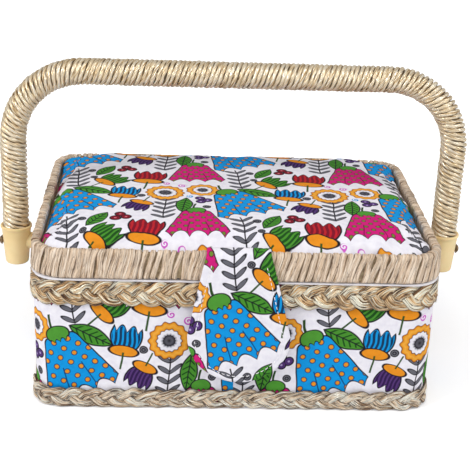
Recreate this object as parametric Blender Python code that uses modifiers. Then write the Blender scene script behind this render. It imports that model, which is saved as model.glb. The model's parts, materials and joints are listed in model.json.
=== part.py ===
"""A sewing basket: cloth-covered box, padded lid in a cord-wound hoop, closing tab and cord-wound handle.

Metres, +Z up, front towards -Y. The origin is the middle of the underside.
"""

import math

import bmesh
import bpy
import numpy as np
from mathutils import Matrix, Vector

# Fit and facets
CLEAR = 0.0003  # gap between pieces that touch
OVERRUN = 0.002  # how far a cut passes the face that it leaves
WELD = 0.00001  # points nearer to each other than this become one
CORNER_STEPS = 6  # straight runs in each rounded corner of an outline
TURN_STEPS = 20  # sides of a turned piece
BOLT_STEPS = 16
SCREW_STEPS = 10
HOLE_STEPS = 12
NUT_SIDES = 6
SHARP_ANGLE = math.radians(38)  # edges sharper than this aren't shaded smooth

# Lid hoop, measured over its cord
LID_WIDTH = 0.240
LID_DEPTH = 0.174
LID_CORNER = 0.020
HOOP_HEIGHT = 0.0174
HOOP_BOARD = 0.0026  # thickness of the bent board inside the cord
CORD_WALL = 0.0009  # thickness of the cord wound on the hoop
CORD_ROUND = 0.0012  # rounding of the wound edges
CORD_RIDGE = 0.0005  # depth of the groove between two ridges of cord
CORD_TURNS = 72  # ridges of cord round the hoop

# Box
BODY_HEIGHT = 0.0856  # table to the turned-over lip
LID_SEAM = 0.0004  # gap between the lip and the closed lid
LID_OVERHANG = 0.002  # hoop beyond the braid, in front and behind
BRAID_OVERHANG = 0.001  # braid beyond the hoop at the two sides
BRAID_THICKNESS = 0.0018
RIM_BRAID_HEIGHT = 0.0162
BASE_BRAID_HEIGHT = 0.013
BRAID_ROUND = 0.0006
FABRIC = 0.0008
WALL = 0.003
BASE_BOARD = 0.003
LINING = 0.0008
LIP_SETBACK = 0.0003  # lip short of the braid's face

# Tray on its two ledges
TRAY_DROP = 0.0076  # tray's edge below the box's lip
TRAY_HEIGHT = 0.0277
TRAY_WALL = 0.0014
TRAY_END_GAP = 0.0064  # room for the bolt ends beside the tray
TRAY_SIDE_GAP = 0.0025
TRAY_CORNER = 0.010
POCKET_CORNER = 0.006
LEDGE_WIDTH = 0.010
LEDGE_THICKNESS = 0.006
LEDGE_LENGTH = 0.120
LEDGE_EDGE = 0.001
# left, right, front and back of each pocket as shares of the tray's inside
POCKET_SHARES = (
    (0.0, 1.0, 0.0, 0.34),
    (0.0, 0.3, 0.34, 1.0),
    (0.3, 0.64, 0.34, 0.67),
    (0.3, 0.64, 0.67, 1.0),
    (0.64, 1.0, 0.34, 1.0),
)

# Lid filling
LID_BOARD = 0.0028
LID_RECESS = 0.0072  # depth of the hollow under the lid
PAD_CROWN = 0.006  # top of the pad over the hoop
PAD_SIDE = 0.0035  # upright side of the pad
PAD_REACH = 0.046  # how far in the pad goes on rising
PAD_TUCK = 0.0014  # how far the pad's foot is drawn in
PINS_LENGTH = 0.066
PINS_WIDTH = 0.044
PINS_HEIGHT = 0.0056
PINS_CORNER = 0.008
PINS_PINCH = 0.0016
PINS_ROUND = 0.012
PINS_INSET = 0.016  # pin cushion in from the lid's left and rear inner sides
CROWN_FALL = 3  # larger flattens a stuffed crown sooner
CROWN_ROUND = 0.62  # smaller makes its shoulder squarer
CROWN_SPREAD = 1.5  # larger sets more of its loops at the shoulder
CROWN_STEPS = 7
TUCK_SHARE = 0.25  # share of the tuck left a third of the way up the side
CORNER_SHARE = 1 / 3  # least corner radius of a crown's loop, as a share of the foot's

# Closing tab and its magnetic snap
TAB_TOP_WIDTH = 0.037
TAB_WIDTH = 0.060
TAB_DROP = 0.0815  # hoop top to the tab's tip
TAB_ARCH = 0.031  # height of the rounded lower end
TAB_THICKNESS = 0.0024
TAB_FOLD_RISE = 0.0015  # fold line over the hoop's top
ANCHOR_REACH = 0.0078  # sewn end, from the fold back over the hoop
ANCHOR_EDGE = 0.0006
TAB_STEPS = 14  # straight runs round the tab's lower end
SNAP_RADIUS = 0.0072
SNAP_RISE = 0.0181  # middle of the snap over the tab's tip
SNAP_EDGE = 0.0005
SNAP_DIMPLE_RADIUS = 0.0026
SNAP_DIMPLE = 0.0006

# Rear hinges
HINGE_SPACING = 0.124
HINGE_WIDTH = 0.026
HINGE_RISE = 0.0105  # pin axis over the lid's lower edge
KNUCKLE_RADIUS = 0.002
HINGE_PIN_RADIUS = 0.0009
LEAF_THICKNESS = 0.0009
LID_LEAF_HEIGHT = 0.0067
BODY_LEAF_HEIGHT = 0.0145
SCREW_SPACING = 0.0155
SCREW_RADIUS = 0.0008
SCREW_HEAD_RADIUS = 0.0016
SCREW_HEAD = 0.0009
SCREW_LENGTH = 0.0042
# radius and height of points up the screw's round head, as shares of the head's own
SCREW_DOME_SHARES = ((0.0, 1.0), (0.6, 0.85), (1.0, 0.25), (1.0, 0.0))

# Handle
GRIP_RADIUS = 0.00825
CORE_RADIUS = 0.0062
HANDLE_RISE = 0.112  # pivot to the middle of the crossbar
HANDLE_BEND = 0.044
BEND_STEPS = 8
CORE_STEPS = 4  # sides in a quarter of the cane, less one
SIDE_GAP = 0.00975  # handle post clear of the hoop
PIVOT_DROP = 0.0126  # pivot below the lip
WIND_LOOPS = 24  # a flat band of side-by-side cords makes this many loops
WIND_GAP = 0.0006
WIND_RELIEF = 0.0004  # groove between two cords of the band
WIND_STEPS = 10  # points of each loop
WIND_CORDS = 3

# Sockets and pivot bolts
SOCKET_HEIGHT = 0.027
SOCKET_RISE = 0.011  # socket's mouth over the pivot
SOCKET_WALL = 0.0020
SOCKET_FLOOR = 0.003
SOCKET_MOUTH = 0.0043  # depth to which the winding sits in the socket
SOCKET_LIP = 0.0004
SOCKET_LIP_HEIGHT = 0.0016
SOCKET_ROUND = 0.0018
SOCKET_ROUND_STEPS = 3
BOSS_RADIUS = 0.0055
BOLT_RADIUS = 0.002
BOLT_HEAD_RADIUS = 0.0027
BOLT_HEAD = 0.0019
BOLT_DOME_STEPS = 4
WASHER_RADIUS = 0.005
WASHER = 0.0008
NUT_RADIUS = 0.0037
NUT = 0.0026
BOLT_END = 0.0005  # bolt past its nut

# Outlines in plan, as half width, half depth and corner radius
LID_PLAN = (LID_WIDTH / 2, LID_DEPTH / 2, LID_CORNER)


def inset(plan, depth):
    """The plan with every side moved in by depth."""
    return tuple(size - depth for size in plan)


HOOP_THICKNESS = HOOP_BOARD + 2 * (CORD_WALL + CLEAR)
HOOP_INSIDE = inset(LID_PLAN, HOOP_THICKNESS)
BRAID_OUT = (LID_PLAN[0] + BRAID_OVERHANG, LID_PLAN[1] - LID_OVERHANG, LID_CORNER - LID_OVERHANG)
BRAID_IN = inset(BRAID_OUT, BRAID_THICKNESS)
FABRIC_OUT = inset(BRAID_IN, CLEAR)
FABRIC_IN = inset(FABRIC_OUT, FABRIC)
WALL_OUT = inset(FABRIC_IN, CLEAR)
WALL_IN = inset(WALL_OUT, WALL)
LINING_OUT = inset(WALL_IN, CLEAR)
LINING_IN = inset(LINING_OUT, LINING)

# Heights
BOARD_FOOT = FABRIC + CLEAR
BOARD_TOP = BOARD_FOOT + BASE_BOARD
WALL_FOOT = BOARD_TOP + CLEAR
LIP_FOOT = BODY_HEIGHT - LINING
WALL_TOP = LIP_FOOT - CLEAR
HOOP_FOOT = BODY_HEIGHT + LID_SEAM
HOOP_TOP = HOOP_FOOT + HOOP_HEIGHT
LID_LINING_FOOT = HOOP_FOOT + LID_RECESS
LID_BOARD_FOOT = LID_LINING_FOOT + LINING + CLEAR
PAD_FOOT = LID_BOARD_FOOT + LID_BOARD + CLEAR
PAD_TOP = HOOP_TOP + PAD_CROWN

# Joint axes
HINGE_Y = LID_DEPTH / 2 + CLEAR + KNUCKLE_RADIUS
HINGE_Z = HOOP_FOOT + HINGE_RISE
TAB_FACE_Y = -LID_DEPTH / 2 - CLEAR  # the tab's back
TAB_AXIS_Y = TAB_FACE_Y - TAB_THICKNESS / 2
TAB_AXIS_Z = HOOP_TOP + TAB_FOLD_RISE
SNAP_Z = HOOP_TOP - TAB_DROP + SNAP_RISE
PIVOT_Z = BODY_HEIGHT - PIVOT_DROP
POST_X = LID_WIDTH / 2 + SIDE_GAP + GRIP_RADIUS
SOCKET_TOP = PIVOT_Z + SOCKET_RISE
SOCKET_FOOT = SOCKET_TOP - SOCKET_HEIGHT
CROSSBAR_Z = PIVOT_Z + HANDLE_RISE


for old in list(bpy.data.objects):
    bpy.data.objects.remove(old, do_unlink=True)

basket = bpy.data.collections.new("Sewing basket")
cutters = bpy.data.collections.new("Cutters")
bpy.context.scene.collection.children.link(basket)
bpy.context.scene.collection.children.link(cutters)


def finish(name, colour, roughness, metallic=0.0):
    material = bpy.data.materials.new(name)
    material.use_nodes = True
    shader = material.node_tree.nodes["Principled BSDF"]
    shader.inputs["Base Color"].default_value = (*colour, 1.0)
    shader.inputs["Roughness"].default_value = roughness
    shader.inputs["Metallic"].default_value = metallic
    material.diffuse_color = (*colour, 1.0)
    return material


PRINT_CLOTH = finish("printed cotton", (0.72, 0.74, 0.82), 0.85)
LINING_CLOTH = finish("white lining", (0.85, 0.85, 0.86), 0.8)
BOARD = finish("grey board", (0.42, 0.38, 0.32), 0.9)
STRAW = finish("straw braid", (0.56, 0.42, 0.25), 0.5)
PAPER_CORD = finish("paper cord", (0.66, 0.54, 0.38), 0.75)
GLOSS_CORD = finish("glossy cord", (0.72, 0.56, 0.33), 0.35)
CANE = finish("cane core", (0.45, 0.33, 0.2), 0.7)
SOCKET_PLASTIC = finish("cream plastic", (0.8, 0.62, 0.3), 0.4)
TRAY_PLASTIC = finish("clear white plastic", (0.86, 0.87, 0.88), 0.3)
STEEL = finish("dark steel", (0.3, 0.29, 0.28), 0.35, 0.9)
BRASS = finish("brassed steel", (0.68, 0.52, 0.26), 0.3, 0.9)
PINS_CLOTH = finish("pin cushion felt", (0.6, 0.08, 0.22), 0.9)


def pivot(name, y, z):
    """An empty on a joint's axis, which runs along X."""
    empty = bpy.data.objects.new(name, None)
    basket.objects.link(empty)
    empty.location = (0, y, z)
    return empty


LID_PIVOT = pivot("lid_pivot", HINGE_Y, HINGE_Z)
TAB_PIVOT = pivot("tab_pivot", TAB_AXIS_Y, TAB_AXIS_Z)
TAB_PIVOT.parent = LID_PIVOT
TAB_PIVOT.location -= LID_PIVOT.location
BOLT_PIVOT = pivot("bolt_pivot", 0, PIVOT_Z)
HANDLE_PIVOT = pivot("handle_pivot", 0, 0)
HANDLE_PIVOT.parent = BOLT_PIVOT
bpy.context.view_layer.update()


def place(obj, material, carrier=None, smooth=True):
    """Puts a finished piece in the basket's collection, on the empty that carries it."""
    basket.objects.link(obj)
    obj.data.materials.clear()
    obj.data.materials.append(material)
    if carrier:
        obj.parent = carrier
        obj.location -= carrier.matrix_world.translation
    if smooth and obj.type == "MESH":
        obj.data.shade_smooth()
        obj.data.set_sharp_from_angle(angle=SHARP_ANGLE)
    return obj


def as_cutter(obj):
    cutters.objects.link(obj)
    obj.hide_render = True
    obj.display_type = "WIRE"
    return obj


def boolean(obj, tool, operation="DIFFERENCE"):
    modifier = obj.modifiers.new(operation.lower(), "BOOLEAN")
    modifier.operation = operation
    modifier.object = tool
    modifier.solver = "EXACT"


def from_bmesh(name, mesh_in):
    mesh = bpy.data.meshes.new(name)
    bmesh.ops.recalc_face_normals(mesh_in, faces=mesh_in.faces)
    mesh_in.to_mesh(mesh)
    mesh_in.free()
    return bpy.data.objects.new(name, mesh)


def outline(plan, z, steps=CORNER_STEPS):
    """A rounded rectangle at height z, anticlockwise seen from above, as a list of points."""
    half_x, half_y, corner = plan
    points = []
    for quarter, (side_x, side_y) in enumerate(((1, 1), (-1, 1), (-1, -1), (1, -1))):
        for step in range(steps + 1):
            angle = math.pi / 2 * (quarter + step / steps)
            points.append(
                Vector(
                    (
                        side_x * (half_x - corner) + corner * math.cos(angle),
                        side_y * (half_y - corner) + corner * math.sin(angle),
                        z,
                    )
                )
            )
    return points


def skin(name, loops, ring=False):
    """A closed solid over loops of equal length: a ring of them, or a stack with both ends capped."""
    built = bmesh.new()
    rows = [[built.verts.new(point) for point in loop] for loop in loops]
    pairs = list(zip(rows, rows[1:]))
    if ring:
        pairs.append((rows[-1], rows[0]))
    else:
        built.faces.new(rows[0])
        built.faces.new(rows[-1])
    for lower, upper in pairs:
        for i in range(len(lower)):
            after = (i + 1) % len(lower)
            built.faces.new((lower[i], lower[after], upper[after], upper[i]))
    return from_bmesh(name, built)


def band(name, outer, inner, foot, top, rounding=0.0):
    """A wall of upright sides between two plans, its two outer edges rounded off."""
    loops = [outline(inner, foot)]
    if rounding:
        loops.append(outline(inset(outer, rounding), foot))
        loops.append(outline(outer, foot + rounding))
        loops.append(outline(outer, top - rounding))
        loops.append(outline(inset(outer, rounding), top))
    else:
        loops.append(outline(outer, foot))
        loops.append(outline(outer, top))
    loops.append(outline(inner, top))
    return skin(name, loops, ring=True)


def slab(name, plan, foot, top):
    return skin(name, [outline(plan, foot), outline(plan, top)])


def cylinder_x(name, radius, x_from, x_to, y, z, sides=TURN_STEPS):
    """A cylinder along X between two places."""
    built = bmesh.new()
    turn = Matrix.Rotation(math.pi / 2, 4, "Y")
    middle = Matrix.Translation(((x_from + x_to) / 2, y, z))
    bmesh.ops.create_cone(
        built,
        cap_ends=True,
        segments=sides,
        radius1=radius,
        radius2=radius,
        depth=abs(x_to - x_from),
        matrix=middle @ turn,
    )
    return from_bmesh(name, built)


def box(name, low, high):
    built = bmesh.new()
    size = [top - foot for foot, top in zip(low, high)]
    middle = [(top + foot) / 2 for foot, top in zip(low, high)]
    stretch = Matrix.Diagonal((*size, 1))
    bmesh.ops.create_cube(built, size=1, matrix=Matrix.Translation(middle) @ stretch)
    return from_bmesh(name, built)


def join_bodies(name, pieces):
    """Several separate solids as one cutter."""
    built = bmesh.new()
    for piece in pieces:
        built.from_mesh(piece.data)
        bpy.data.objects.remove(piece)
    return from_bmesh(name, built)


def turned(name, profile, location, turn=Matrix.Identity(4), closed=False, steps=TURN_STEPS):
    """A profile of (radius, height) points, spun round its own Z, then turned and moved to its place."""
    mesh = bpy.data.meshes.new(name)
    count = len(profile)
    edges = [(i, i + 1) for i in range(count - 1)]
    if closed:
        edges.append((count - 1, 0))
    mesh.from_pydata([(radius, 0, height) for radius, height in profile], edges, [])
    obj = bpy.data.objects.new(name, mesh)
    obj.matrix_world = Matrix.Translation(location) @ turn
    screw = obj.modifiers.new("turn", "SCREW")
    screw.axis = "Z"
    screw.steps = steps
    screw.render_steps = steps
    screw.use_merge_vertices = True
    screw.merge_threshold = WELD
    screw.use_smooth_shade = True
    return obj


def made_mesh(obj):
    """A plain mesh in place of a curve or of an object with modifiers, its loose caps welded."""
    scratch = bpy.context.scene.collection
    if not obj.users_collection:
        scratch.objects.link(obj)
    bpy.context.view_layer.update()
    graph = bpy.context.evaluated_depsgraph_get()
    mesh = bpy.data.meshes.new_from_object(obj.evaluated_get(graph))
    mesh.transform(obj.matrix_world)
    welded = bmesh.new()
    welded.from_mesh(mesh)
    bmesh.ops.remove_doubles(welded, verts=welded.verts, dist=WELD)
    name = obj.name
    bpy.data.objects.remove(obj)
    bpy.data.meshes.remove(mesh)
    return from_bmesh(name, welded)


def flat_piece(name, points, half_depth, turn):
    """A filled outline given thickness both ways, then turned out of the XY plane."""
    curve = bpy.data.curves.new(name, "CURVE")
    curve.dimensions = "2D"
    curve.fill_mode = "BOTH"
    curve.extrude = half_depth
    spline = curve.splines.new("POLY")
    spline.points.add(len(points) - 1)
    spline.use_cyclic_u = True
    for point, (across, up) in zip(spline.points, points):
        point.co = (across, up, 0, 1)
    obj = bpy.data.objects.new(name, curve)
    obj.matrix_world = turn
    return made_mesh(obj)


def sign_name(side):
    return "left" if side < 0 else "right"


BOLT_HOLE = BOLT_RADIUS + CLEAR
WASHER_X = LINING_IN[0] - CLEAR
NUT_X = WASHER_X - WASHER - CLEAR
BOLT_END_X = NUT_X - NUT - BOLT_END
BORE_END_X = POST_X + GRIP_RADIUS + SOCKET_WALL + OVERRUN


def side_bores(name):
    """The bolts' holes: one cylinder along the pivot axis on each side of the basket."""
    bores = []
    for side in (-1, 1):
        near_x, far_x = side * (BOLT_END_X - OVERRUN), side * BORE_END_X
        bores.append(cylinder_x(name, BOLT_HOLE, near_x, far_x, 0, PIVOT_Z))
    return as_cutter(join_bodies(name, bores))


bolt_bores = side_bores("bolt_bores")


def screw_places():
    """Centre X of each screw of the two hinges."""
    for hinge in (-1, 1):
        for screw in (-1, 1):
            yield hinge * HINGE_SPACING / 2 + screw * SCREW_SPACING / 2, hinge, screw


LID_SCREW_Z = HINGE_Z + LID_LEAF_HEIGHT - SCREW_HEAD_RADIUS - LEAF_THICKNESS
BODY_LEAF_TOP = WALL_TOP - LEAF_THICKNESS
BODY_LEAF_FOOT = BODY_LEAF_TOP - BODY_LEAF_HEIGHT
BODY_SCREW_Z = (BODY_LEAF_TOP + BODY_LEAF_FOOT) / 2
LEAF_Y = LID_DEPTH / 2 + CLEAR  # front face of the lid's leaves
SEAT_Y = BRAID_OUT[1] + CLEAR  # front face of the body's leaves


def screw_bores(name, z, y_from, y_to):
    built = bmesh.new()
    turn = Matrix.Rotation(math.pi / 2, 4, "X")
    for x, _, _ in screw_places():
        bmesh.ops.create_cone(
            built,
            cap_ends=True,
            segments=HOLE_STEPS,
            radius1=SCREW_RADIUS + CLEAR,
            radius2=SCREW_RADIUS + CLEAR,
            depth=y_to - y_from,
            matrix=Matrix.Translation((x, (y_from + y_to) / 2, z)) @ turn,
        )
    return as_cutter(from_bmesh(name, built))


lid_screw_bores = screw_bores(
    "lid_screw_bores",
    LID_SCREW_Z,
    HOOP_INSIDE[1] - OVERRUN,
    LEAF_Y + LEAF_THICKNESS + OVERRUN,
)
body_screw_bores = screw_bores(
    "body_screw_bores",
    BODY_SCREW_Z,
    WALL_IN[1] + CLEAR,
    SEAT_Y + LEAF_THICKNESS + OVERRUN,
)


def make_box():
    """Boards, cloth skins and the two braids of the box."""
    cover = slab("base_cover", FABRIC_OUT, 0, FABRIC)
    place(cover, LINING_CLOTH, smooth=False)
    place(slab("base_board", WALL_OUT, BOARD_FOOT, BOARD_TOP), BOARD, smooth=False)
    wall = place(band("box_wall", WALL_OUT, WALL_IN, WALL_FOOT, WALL_TOP), BOARD)
    boolean(wall, bolt_bores)
    boolean(wall, body_screw_bores)
    fabric = place(band("body_fabric", FABRIC_OUT, FABRIC_IN, BOARD_FOOT, WALL_TOP), PRINT_CLOTH)
    boolean(fabric, bolt_bores)
    boolean(fabric, body_screw_bores)
    rim = band("rim_braid", BRAID_OUT, BRAID_IN, WALL_TOP - RIM_BRAID_HEIGHT, WALL_TOP, BRAID_ROUND)
    place(rim, STRAW)
    boolean(rim, bolt_bores)
    boolean(rim, body_screw_bores)
    place(band("base_braid", BRAID_OUT, BRAID_IN, 0, BASE_BRAID_HEIGHT, BRAID_ROUND), STRAW)


def make_lining():
    """A cloth cup inside the box whose upper edge is turned out over the wall as a narrow lip."""
    lip = inset(BRAID_OUT, LIP_SETBACK)
    lining = skin(
        "body_lining",
        [
            outline(LINING_OUT, WALL_FOOT),
            outline(LINING_OUT, LIP_FOOT),
            outline(lip, LIP_FOOT),
            outline(lip, BODY_HEIGHT),
            outline(LINING_IN, BODY_HEIGHT),
            outline(LINING_IN, WALL_FOOT + LINING),
        ],
    )
    place(lining, LINING_CLOTH)
    boolean(lining, bolt_bores)


TRAY_PLAN = (LINING_IN[0] - TRAY_END_GAP, LINING_IN[1] - TRAY_SIDE_GAP, TRAY_CORNER)
TRAY_TOP = BODY_HEIGHT - TRAY_DROP
TRAY_FOOT = TRAY_TOP - TRAY_HEIGHT


def pocket(shares):
    """A cutter for one pocket, a tray wall clear of its neighbours."""
    left, right, front, back = shares
    inside_x = TRAY_PLAN[0] - TRAY_WALL / 2
    inside_y = TRAY_PLAN[1] - TRAY_WALL / 2
    low_x, high_x = (2 * left - 1) * inside_x, (2 * right - 1) * inside_x
    low_y, high_y = (2 * front - 1) * inside_y, (2 * back - 1) * inside_y
    plan = ((high_x - low_x - TRAY_WALL) / 2, (high_y - low_y - TRAY_WALL) / 2, POCKET_CORNER)
    middle = Vector(((low_x + high_x) / 2, (low_y + high_y) / 2, 0))
    floor = TRAY_FOOT + TRAY_WALL
    loops = [
        [point + middle for point in outline(plan, z, CORNER_STEPS // 2)]
        for z in (floor, TRAY_TOP + OVERRUN)
    ]
    return skin("tray_pocket", loops)


def make_tray():
    """A loose moulded tray with five pockets, and the two ledges that it stands on."""
    tray = place(slab("sewing_tray", TRAY_PLAN, TRAY_FOOT, TRAY_TOP), TRAY_PLASTIC)
    pockets = [pocket(shares) for shares in POCKET_SHARES]
    boolean(tray, as_cutter(join_bodies("tray_pockets", pockets)))
    ledge_top = TRAY_FOOT - CLEAR
    outer = LINING_IN[0] - CLEAR
    for side in (-1, 1):
        near, far = sorted((side * outer, side * (outer - LEDGE_WIDTH)))
        ledge = box(
            f"tray_ledge_{sign_name(side)}",
            (near, -LEDGE_LENGTH / 2, ledge_top - LEDGE_THICKNESS),
            (far, LEDGE_LENGTH / 2, ledge_top),
        )
        place(ledge, LINING_CLOTH, smooth=False)
        edge = ledge.modifiers.new("edge", "BEVEL")
        edge.width = LEDGE_EDGE
        edge.segments = 1


def plan_point(plan, along):
    """Point and outward normal, a distance along a rounded rectangle from its front's middle, anticlockwise."""
    half_x, half_y, corner = plan
    flat_x, flat_y = 2 * (half_x - corner), 2 * (half_y - corner)
    arc = corner * math.pi / 2
    runs = (flat_x / 2, arc, flat_y, arc, flat_x, arc, flat_y, arc, flat_x / 2)
    along = along % sum(runs)
    place_now = Vector((0, -half_y, 0))
    heading = 0.0
    for number, run in enumerate(runs):
        step = min(along, run)
        if number % 2 == 0:
            place_now += step * Vector((math.cos(heading), math.sin(heading), 0))
        else:
            centre = place_now + corner * Vector((-math.sin(heading), math.cos(heading), 0))
            heading += step / corner
            place_now = centre + corner * Vector((math.sin(heading), -math.cos(heading), 0))
        along -= step
        if along <= 0:
            break
    return place_now, Vector((math.sin(heading), -math.cos(heading), 0))


def plan_length(plan):
    half_x, half_y, corner = plan
    return 4 * (half_x + half_y - 2 * corner) + 2 * math.pi * corner


def make_hoop():
    """The lid's bent board, and the cord round it as one unbroken helical ridge, open on the hidden side."""
    board_out = inset(LID_PLAN, CORD_WALL + CLEAR)
    board_in = inset(board_out, HOOP_BOARD)
    edge = CORD_WALL + CLEAR
    hoop = band("lid_hoop", board_out, board_in, HOOP_FOOT + edge, HOOP_TOP - edge)
    place(hoop, BOARD, LID_PIVOT)
    boolean(hoop, lid_screw_bores)

    # Each entry: distance in from the hoop's face, height, and whether the ridges stand on it.
    section = (
        (HOOP_THICKNESS, HOOP_FOOT, True),
        (CORD_ROUND, HOOP_FOOT, True),
        (0, HOOP_FOOT + CORD_ROUND, True),
        (0, HOOP_TOP - CORD_ROUND, True),
        (CORD_ROUND, HOOP_TOP, True),
        (HOOP_THICKNESS, HOOP_TOP, True),
        (HOOP_THICKNESS, HOOP_TOP - CORD_WALL, False),
        (CORD_WALL, HOOP_TOP - CORD_WALL, False),
        (CORD_WALL, HOOP_FOOT + CORD_WALL, False),
        (HOOP_THICKNESS, HOOP_FOOT + CORD_WALL, False),
    )
    round_hoop = 2 * (HOOP_THICKNESS + HOOP_HEIGHT)
    pitch = plan_length(LID_PLAN) / CORD_TURNS
    middle = (HOOP_FOOT + HOOP_TOP) / 2
    loops = []
    for depth, z, ridged in section:
        # A turn climbs the outer face and comes back behind: its lead follows the way round the section.
        behind = -depth if z < middle else depth
        travelled = z - HOOP_FOOT + HOOP_THICKNESS + behind
        loop = []
        for half_turn in range(2 * CORD_TURNS):
            along = (half_turn / 2 + travelled / round_hoop) * pitch
            point, outward = plan_point(LID_PLAN, along)
            sunk = CORD_RIDGE if ridged and half_turn % 2 else 0
            if HOOP_FOOT < z < HOOP_TOP:
                loop.append(point - outward * (depth + sunk) + Vector((0, 0, z)))
            else:
                rise = -sunk if z > middle else sunk
                loop.append(point - outward * depth + Vector((0, 0, z + rise)))
        loops.append(loop)
    winding = place(skin("lid_winding", loops, ring=True), PAPER_CORD, LID_PIVOT)
    boolean(winding, lid_screw_bores)


def cushion(name, plan, side_foot, side_top, crown, reach, tuck, pinch=0.0, flip=False):
    """A stuffed piece: flat foot drawn in by tuck, upright side, then a crown that levels out over reach."""
    levels = [(tuck, side_foot), (tuck * TUCK_SHARE, side_foot + (side_top - side_foot) / 3)]
    for step in range(CROWN_STEPS + 1):
        share = step / CROWN_STEPS
        rise = (1 - (1 - share) ** CROWN_FALL) ** CROWN_ROUND
        levels.append((reach * share**CROWN_SPREAD, side_top + (crown - side_top) * rise))
    loops = []
    for depth, z in levels:
        half_x, half_y, corner = plan
        now = (half_x - depth, half_y - depth, max(corner - depth, corner * CORNER_SHARE))
        loop = outline(now, z)
        for point in loop:
            # The long and the short sides draw in towards their middles.
            point.y *= 1 - pinch / half_y * (1 - (point.x / now[0]) ** 2)
            point.x *= 1 - pinch / half_x * (1 - (point.y / now[1]) ** 2)
            if flip:
                point.z = side_foot + crown - point.z
        loops.append(loop)
    return skin(name, loops)


def make_lid_filling():
    """Board, padded top, lining and the pin cushion under the lid."""
    plan = inset(HOOP_INSIDE, CLEAR)
    board = slab("lid_board", plan, LID_BOARD_FOOT, LID_BOARD_FOOT + LID_BOARD)
    place(board, BOARD, LID_PIVOT, smooth=False)
    pad = cushion("lid_pad", plan, PAD_FOOT, PAD_FOOT + PAD_SIDE, PAD_TOP, PAD_REACH, PAD_TUCK)
    place(pad, PRINT_CLOTH, LID_PIVOT)
    inner = inset(plan, LINING)
    lining = skin(
        "lid_lining",
        [
            outline(plan, LID_LINING_FOOT + LINING),
            outline(plan, HOOP_FOOT),
            outline(inner, HOOP_FOOT),
            outline(inner, LID_LINING_FOOT),
        ],
    )
    place(lining, LINING_CLOTH, LID_PIVOT)
    top = LID_LINING_FOOT - CLEAR
    pins = cushion(
        "pin_cushion",
        (PINS_LENGTH / 2, PINS_WIDTH / 2, PINS_CORNER),
        top - PINS_HEIGHT,
        top - PINS_HEIGHT / 2,
        top,
        PINS_ROUND,
        0,
        PINS_PINCH,
        flip=True,
    )
    pins.location = (
        -inner[0] + PINS_INSET + PINS_LENGTH / 2,
        inner[1] - PINS_INSET - PINS_WIDTH / 2,
        0,
    )
    place(pins, PINS_CLOTH, LID_PIVOT)


FACING_FRONT = Matrix.Rotation(math.pi / 2, 4, "X")


def snap_half(name, outer_y, inner_y, dimple_out, carrier, material):
    """One disc of the magnetic snap, dished in the middle of its outer face."""
    depth = abs(outer_y - inner_y)
    profile = [
        (0, depth - SNAP_DIMPLE),
        (SNAP_DIMPLE_RADIUS, depth - SNAP_DIMPLE),
        (SNAP_DIMPLE_RADIUS + SNAP_DIMPLE, depth),
        (SNAP_RADIUS - SNAP_EDGE, depth),
        (SNAP_RADIUS, depth - SNAP_EDGE),
        (SNAP_RADIUS, 0),
        (0, 0),
    ]
    turn = Matrix.Rotation(math.pi / 2 if dimple_out < 0 else -math.pi / 2, 4, "X")
    back_y = max(outer_y, inner_y) if dimple_out < 0 else min(outer_y, inner_y)
    obj = turned(name, profile, (0, back_y, SNAP_Z), turn)
    place(obj, material, carrier, smooth=False)


def make_tab():
    """The cloth tab in front, the sewn end that it hangs from, and the snap behind it."""
    fold = TAB_AXIS_Z - TAB_FOLD_RISE
    shoulder = HOOP_TOP - TAB_DROP + TAB_ARCH
    half_top, half_wide = TAB_TOP_WIDTH / 2, TAB_WIDTH / 2
    points = [(-half_top, fold), (-half_wide, shoulder)]
    for step in range(1, TAB_STEPS):
        angle = math.pi * step / TAB_STEPS
        points.append((-half_wide * math.cos(angle), shoulder - TAB_ARCH * math.sin(angle)))
    points += [(half_wide, shoulder), (half_top, fold)]
    middle = Matrix.Translation((0, TAB_AXIS_Y, 0))
    tab = flat_piece("closure_tab", points, TAB_THICKNESS / 2, middle @ FACING_FRONT)
    place(tab, PRINT_CLOTH, TAB_PIVOT)
    anchor = box(
        "tab_anchor",
        (-half_top, TAB_AXIS_Y + CLEAR, HOOP_TOP + CLEAR),
        (half_top, TAB_AXIS_Y + ANCHOR_REACH, HOOP_TOP + CLEAR + TAB_THICKNESS),
    )
    place(anchor, PRINT_CLOTH, LID_PIVOT, smooth=False)
    edge = anchor.modifiers.new("edge", "BEVEL")
    edge.width = ANCHOR_EDGE
    edge.segments = 2
    wall_y = -FABRIC_OUT[1] - CLEAR
    tab_y = TAB_FACE_Y + CLEAR
    meet = (wall_y + tab_y) / 2
    snap_half("body_snap", meet + CLEAR / 2, wall_y, -1, None, BRASS)
    snap_half("tab_snap", meet - CLEAR / 2, tab_y, 1, TAB_PIVOT, BRASS)


FACING_SIDE = Matrix(((0, 0, 1, 0), (1, 0, 0, 0), (0, 1, 0, 0), (0, 0, 0, 1)))


def knuckles(name, hinge_x, shares):
    """Cylinders on the hinge axis, each over a stretch of the leaf's width given in shares."""
    start = hinge_x - HINGE_WIDTH / 2
    pieces = []
    for low, high in shares:
        pieces.append(
            cylinder_x(
                name,
                KNUCKLE_RADIUS,
                start + low * HINGE_WIDTH + CLEAR / 2,
                start + high * HINGE_WIDTH - CLEAR / 2,
                HINGE_Y,
                HINGE_Z,
            )
        )
    return join_bodies(name, pieces)


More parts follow.
